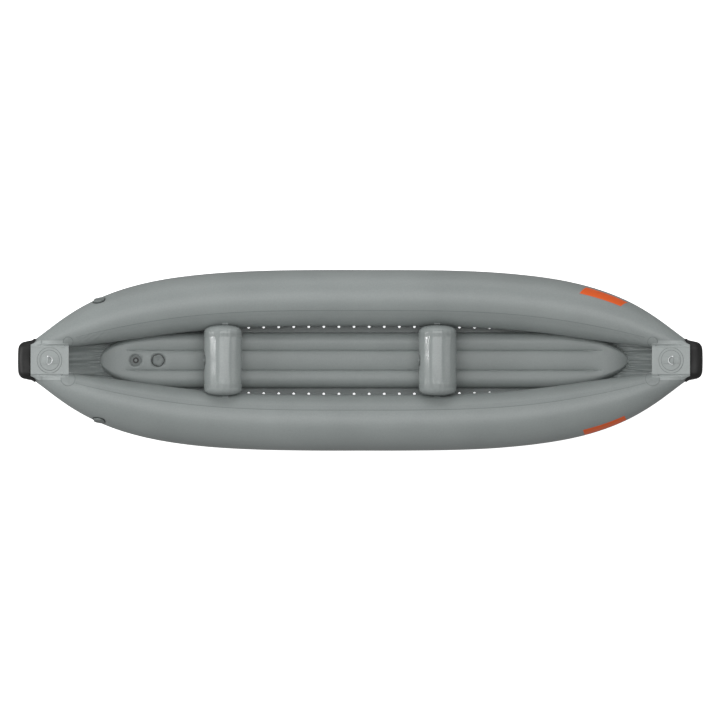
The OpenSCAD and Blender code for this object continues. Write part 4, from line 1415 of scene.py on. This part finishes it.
    def ring(self) -> bpy.types.Object:
        """Builds the steel D: a straight bar and one bent wire, swept round one path."""
        radius = (self.ring_width - self.wire) / 2
        bend = 0.94 * self.wire / 2
        mesh = bmesh.new()
        steps, sides = 48, 20
        spots = [(-self.ring_leg * k / 4, radius) for k in range(5)]
        for k in range(1, steps):
            turn = math.pi / 2 + math.pi * k / steps
            spots.append((-self.ring_leg + radius * math.cos(turn), radius * math.sin(turn)))
        spots += [(-self.ring_leg * (4 - k) / 4, -radius) for k in range(5)]
        rings = []
        for index, (x, y) in enumerate(spots):
            ahead = spots[min(index + 1, len(spots) - 1)]
            behind = spots[max(index - 1, 0)]
            along = Vector((ahead[0] - behind[0], ahead[1] - behind[1], 0)).normalized()
            turn = along.to_track_quat("Z", "X").to_matrix().to_4x4()
            made = bmesh.ops.create_circle(
                mesh, segments=sides, radius=bend, matrix=Matrix.Translation((x, y, 0)) @ turn
            )
            rings.append([e for e in {edge for v in made["verts"] for edge in v.link_edges}])
        for before, after in zip(rings, rings[1:]):
            bmesh.ops.bridge_loops(mesh, edges=before + after)
        close_ends(mesh)
        bar_length = 2 * radius + self.wire
        bar = bmesh.ops.create_cone(
            mesh,
            cap_ends=True,
            segments=24,
            radius1=self.wire / 2,
            radius2=self.wire / 2,
            depth=bar_length,
            matrix=Matrix.Rotation(math.pi / 2, 4, "X"),
        )
        rims = [e for v in bar["verts"] for e in v.link_edges if e.calc_face_angle(0.0) > math.radians(60)]
        bmesh.ops.bevel(
            mesh,
            geom=list(set(rims)),
            offset=0.9 * MM,
            affect="EDGES",
            segments=3,
            profile=0.5,
            material=-1,
        )
        bmesh.ops.translate(mesh, vec=self.bar, verts=mesh.verts[:])
        self.set_down(mesh)
        label = self.end.label
        body = f"{label}_d_ring"
        return Piece(f"{label}_steel_ring", mesh, RING_STEEL, "ring_steel", [f"{label}_d_ring"], body).make()

    def build(self) -> list[bpy.types.Object]:
        """Builds everything at this end."""
        return [self.cap(), self.deck(), self.ring()]


# ---------- thwarts ----------


@dataclass
class Thwart:
    """An inflated cross cylinder that the side tubes press at both ends."""

    place_name: str
    x: float
    floor: AirFloor
    radius: float = 0.1045
    length: float = 0.394
    dome: float = 45 * MM
    rest: float = 0.5 * MM
    tie_width: float = 33 * MM
    tie_wall: float = 2.2 * MM
    tie_reach: float = 10 * MM
    band_width: float = 20 * MM
    band_wall: float = 0.45 * MM
    squareness: float = 2 / 2.6
    sides: int = 120
    dome_steps: int = 16
    straight_steps: int = 30

    @property
    def height(self) -> float:
        """The height of the thwart's axis."""
        floor_top = self.floor.middle_z + self.floor.thick / 2
        return floor_top + self.rest + self.radius + LINES.rise(self.x)

    def press(self, x: float, z: float) -> float:
        """Returns how far the tube's inboard skin lies from the middle, with room for the tie."""
        girth = LINES.girth(x) + self.tie_wall + 3 * SEAT + 0.6 * MM
        away = z - LINES.height(x)
        if abs(away) > girth:
            return 10.0
        return LINES.spread(x) - math.sqrt(girth * girth - away * away) * math.hypot(station(round(x, 6)).slope_y, 1)

    def profile(self) -> list[tuple[float, float]]:
        """Returns the outline from one end's middle to the other's: share of the radius, and Y."""
        straight = self.length / 2 - self.dome
        half = [(0.02, self.length / 2), (0.16, self.length / 2), (0.3, self.length / 2 - 0.1 * MM)]
        for k in range(self.dome_steps):
            q = math.pi / 2 * (0.9 - 0.9 * k / self.dome_steps)
            half.append((math.cos(q) ** self.squareness, straight + self.dome * math.sin(q) ** self.squareness))
        middle = [
            (1.0, straight * math.cos(math.pi * k / self.straight_steps)) for k in range(self.straight_steps + 1)
        ]
        return half + middle + [(share, -y) for share, y in reversed(half)]

    def skin(self, share: float, y: float, degrees: float, off: float = 0.0) -> Vector:
        """Returns a point of the thwart's skin.

        Args:
            share: The share of the radius.
            y: The distance from the middle, before the tubes press the end.
            degrees: The angle round the axis.
            off: How far off the skin the point lies.

        Returns:
            The point.
        """
        turn = math.radians(degrees)
        end = smoothstep(self.length / 2 - 2.4 * self.dome, self.length / 2 - 0.9 * self.dome, abs(y))
        seed = 3.0 * math.copysign(1, y) + 10 * self.x
        wave = noise.noise(Vector((2.2 * math.cos(turn), 2.2 * math.sin(turn), seed)))
        pucker = 0.8 * MM * end * share * math.sin(2 * math.pi * (degrees / 360 * 26 + 1.2 * wave))
        cloudy = 0.6 * MM * noise.noise(Vector((9 * y, 1.4 * math.cos(turn), 1.4 * math.sin(turn) + self.x)))
        radius = self.radius * share + (pucker + cloudy) * share + off
        x, z = self.x + radius * math.cos(turn), self.height + radius * math.sin(turn)
        z = max(z, self.height - self.radius)
        reach = self.press(x, z)
        return Vector((x, math.copysign(min(abs(y), reach), y), z))

    def bands(self) -> list[bpy.types.Object]:
        """Builds the two seam bands round the thwart."""
        made = []
        for side in Side:
            middle = side.value * (self.length / 2 - self.dome - self.band_width / 2)

            def place(u: float, w: float, height: float, middle: float = middle) -> Vector:
                """Returns a point of the band."""
                return self.skin(1.0, middle + self.band_width * (w - 0.5), 360 * u, 0.1 * MM + height)

            mesh = slab(self.sides, 3, place, self.band_wall)
            joined(mesh)
            stretch_uv(mesh, 2 * math.pi * self.radius, 2 * self.band_width)
            name = f"{self.place_name}_thwart_{side.label}_band"
            made.append(Piece(name, mesh, TAPE_FABRIC, "seam_tape").make())
        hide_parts(f"{self.place_name}_thwart_bands")
        return made

    def ties(self) -> list[bpy.types.Object]:
        """Builds the straps that tie the thwart's ends to the side tubes."""
        made = []
        reach = self.length / 2 + self.tie_reach
        top = 180 - math.degrees(math.acos((LINES.spread(self.x) - reach) / LINES.girth(self.x)))
        for side in Side:

            def place(u: float, w: float, height: float, side: Side = side) -> Vector:
                """Returns a point of the strap."""
                point = skin(round(self.x, 6), mix(top, 205, u), 2 * SEAT + height)
                return sided(point + Vector((self.tie_width * (w - 0.5), 0, 0)), side)

            mesh = slab(40, 4, place, self.tie_wall)
            stretch_uv(mesh, 0.2, 2 * self.tie_width)
            name = f"{self.place_name}_thwart_{side.label}_tie"
            made.append(Piece(name, mesh, PATCH_FABRIC, "patch_fabric").make())
        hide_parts(f"{self.place_name}_thwart_ties")
        return made

    def build(self, seat: Seat) -> list[bpy.types.Object]:
        """Builds the thwart, pressed flat under its valve, its bands and its ties."""
        profile = self.profile()

        def place(u: float, v: float) -> Vector:
            """Returns a point of the thwart."""
            share, y = profile[round(u * (len(profile) - 1))]
            return self.skin(share, y, 360 * v)

        mesh = spanned(len(profile) - 1, self.sides, place, wrap=True)
        stretch_uv(mesh, self.length, 2 * math.pi * self.radius)
        close_ends(mesh)
        outwards(mesh)
        seat.press(mesh)
        name = f"{self.place_name}_inflated_thwart"
        thwart = Piece(name, mesh, THWART_FABRIC, "thwart_fabric", [f"{self.place_name}_thwart"]).make()
        return [thwart, *self.bands(), *self.ties()]


# ---------- valves ----------


@dataclass
class InflationValve:
    """A twist valve: its cap is made here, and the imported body, plunger and spring are dressed."""

    name: str
    flange_wall: float = 3 * MM
    face_gap: float = 0.2 * MM
    cap_diameter: float = 63 * MM
    cap_height: float = 10 * MM
    cap_rise: float = 0.3 * MM
    collar: float = 50 * MM
    collar_height: float = 6 * MM
    lobes: int = 5
    lobe_depth: float = 3.5 * MM
    segments: int = 100

    @property
    def seat(self) -> Seat:
        """The valve's seat in its air chamber."""
        return seat_of(f"{self.name}_body", f"{self.name}_cap_off")

    def cap(self) -> bpy.types.Object:
        """Builds the five-lobed cap with a raised grip and a hollow that closes over the collar."""
        base = self.flange_wall + self.cap_rise
        top = base + self.cap_height
        wide = self.cap_diameter / 2
        hole = self.collar / 2 + 2 * SEAT
        roof = base + self.collar_height + SEAT
        profile = [(0.0, roof), (hole, roof), (hole, base), (wide - 0.8 * MM, base), (wide, base + 0.8 * MM)]
        profile += [(wide, top - 3.4 * MM), (wide - 0.7 * MM, top - 2.2 * MM), (wide - 2.2 * MM, top - 1.6 * MM)]
        profile += [(wide - 6.5 * MM, top - 1.5 * MM), (wide - 7.4 * MM, top - 1.2 * MM), (wide - 8.2 * MM, top)]
        profile += [(wide - 13 * MM, top), (wide - 14 * MM, top - 0.8 * MM), (4 * MM, top - 0.8 * MM)]
        profile += [(3.2 * MM, top - 1.2 * MM), (0.0, top - 1.2 * MM)]
        mesh = turned(profile, self.segments)
        for vert in mesh.verts:
            radius = math.hypot(vert.co.x, vert.co.y)
            if radius > hole + 0.1 * MM or (radius > 12 * MM and vert.co.z > roof + 1 * MM):
                turn = math.atan2(vert.co.y, vert.co.x)
                inward = self.lobe_depth * (0.5 - 0.5 * math.cos(self.lobes * turn)) ** 1.5
                share = (radius - inward * radius / wide) / radius
                vert.co.x *= share
                vert.co.y *= share
        seat = self.seat
        place = turned_to(seat.origin - seat.axis * self.face_gap, seat.axis, Vector((1, 0, 0.2)))
        bmesh.ops.transform(mesh, matrix=place, verts=mesh.verts[:])
        outwards(mesh)
        return Piece(
            f"{self.name}_lobed_cap", mesh, NYLON, "cap_plastic", [f"{self.name}_cap"], f"{self.name}_cap", 30
        ).make()

    def build(self) -> bpy.types.Object:
        """Builds the cap and dresses the rest of the valve."""
        dress(f"{self.name}_body", DARK_NYLON)
        dress(f"{self.name}_plunger", SEAL_RUBBER)
        dress(f"{self.name}_spring", SPRING_STEEL)
        return self.cap()


def dress(node: str, finish: CoatedFabric | Moulded | Steel) -> None:
    """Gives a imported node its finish."""
    data = frame["nodes"][node].data
    data.materials.clear()
    data.materials.append(material_of(finish))
    LOG.info("%s: %s", node, finish.name)


def dress_hidden() -> None:
    """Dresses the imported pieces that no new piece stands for."""
    for side in Side:
        dress(f"{side.label}_i_beam", WEB_FABRIC)
    dress("valve_back_nuts", PALE_NYLON)
    dress("relief_back_nut", PALE_NYLON)
    dress("relief_body", MID_NYLON)
    dress("relief_poppet", SEAL_RUBBER)
    dress("relief_button", NYLON)
    dress("relief_spring", SPRING_STEEL)


# ---------- studio ----------


@dataclass
class Studio:
    """A pale self-lit floor, soft lights and the camera straight overhead."""

    view_width: float = 4.003
    camera_height: float = 6.0
    offset: float = 1.7 * MM
    floor_size: float = 60.0
    sky: float = 0.36

    def light(self, name: str, place: Vector, aim: Vector, size: tuple[float, float], power: float) -> None:
        """Adds a rectangular soft light that faces a point."""
        data = bpy.data.lights.new(name, "AREA")
        data.shape = "RECTANGLE"
        data.size, data.size_y = size
        data.energy = power
        lamp = bpy.data.objects.new(name, data)
        lamp.location = place
        lamp.rotation_mode = "QUATERNION"
        lamp.rotation_quaternion = (aim - place).to_track_quat("-Z", "Y")
        bpy.context.scene.collection.objects.link(lamp)

    def build(self) -> None:
        """Builds the floor, the lights and the camera."""
        mesh = bmesh.new()
        bmesh.ops.create_grid(mesh, x_segments=1, y_segments=1, size=self.floor_size / 2)
        bmesh.ops.translate(mesh, vec=(0, 0, -1 * MM), verts=mesh.verts[:])
        data = bpy.data.meshes.new("studio_floor")
        mesh.to_mesh(data)
        mesh.free()
        material, _, shader = new_tree("pale_studio_floor")
        shader.inputs["Base Color"].default_value = linear("#F2F2F2")
        shader.inputs["Roughness"].default_value = 0.9
        shader.inputs["Emission Color"].default_value = linear("#FFFFFF")
        shader.inputs["Emission Strength"].default_value = 1.0
        data.materials.append(material)
        floor = bpy.data.objects.new("studio_floor", data)
        bpy.context.scene.collection.objects.link(floor)
        floor.visible_diffuse = False
        floor.visible_glossy = False

        world = bpy.data.worlds.new("studio")
        bpy.context.scene.world = world
        world.use_nodes = True
        sky = world.node_tree.nodes["Background"]
        sky.inputs["Color"].default_value = (1, 1, 1, 1)
        sky.inputs["Strength"].default_value = self.sky

        middle = Vector((0, 0, 0.2))
        self.light("overhead", Vector((0, 0.9, 4.4)), middle, (5.0, 2.2), 92)
        self.light("port_fill", Vector((0, 4.2, 1.6)), middle, (5.0, 1.4), 36)
        self.light("left_strip", Vector((-4.8, 0.3, 2.1)), middle, (0.2, 3.2), 70)
        self.light("right_strip", Vector((5.0, 0.2, 2.6)), middle, (0.5, 3.0), 6)

        data = bpy.data.cameras.new("overhead_camera")
        data.type = "ORTHO"
        data.ortho_scale = self.view_width
        camera = bpy.data.objects.new("overhead_camera", data)
        camera.location = (-self.offset, self.offset, self.camera_height)
        bpy.context.scene.collection.objects.link(camera)
        bpy.context.scene.camera = camera
        bpy.context.scene.view_settings.view_transform = "Standard"


def main() -> None:
    """Builds the kayak and the studio."""
    logging.basicConfig(level=logging.INFO, format="%(name)s: %(message)s")
    chambers = ("port_tube", "starboard_tube", "floor", "rear_thwart", "front_thwart")
    valves = {name: InflationValve(f"{name}_valve") for name in chambers}
    floor = AirFloor()
    for side in Side:
        SideTube(side).build(valves[f"{side.label}_tube"].seat)
    floor.build([valves["floor"].seat, seat_of("relief_body", "relief_poppet_lift")])
    BottomFabric(floor).build()
    for end in End:
        EndPieces(end).build()
    Thwart("rear", REAR_THWART_X, floor).build(valves["rear_thwart"].seat)
    Thwart("front", FRONT_THWART_X, floor).build(valves["front_thwart"].seat)
    for valve in valves.values():
        valve.build()
    dress_hidden()
    Studio().build()


if __name__ == "__main__":
    main()
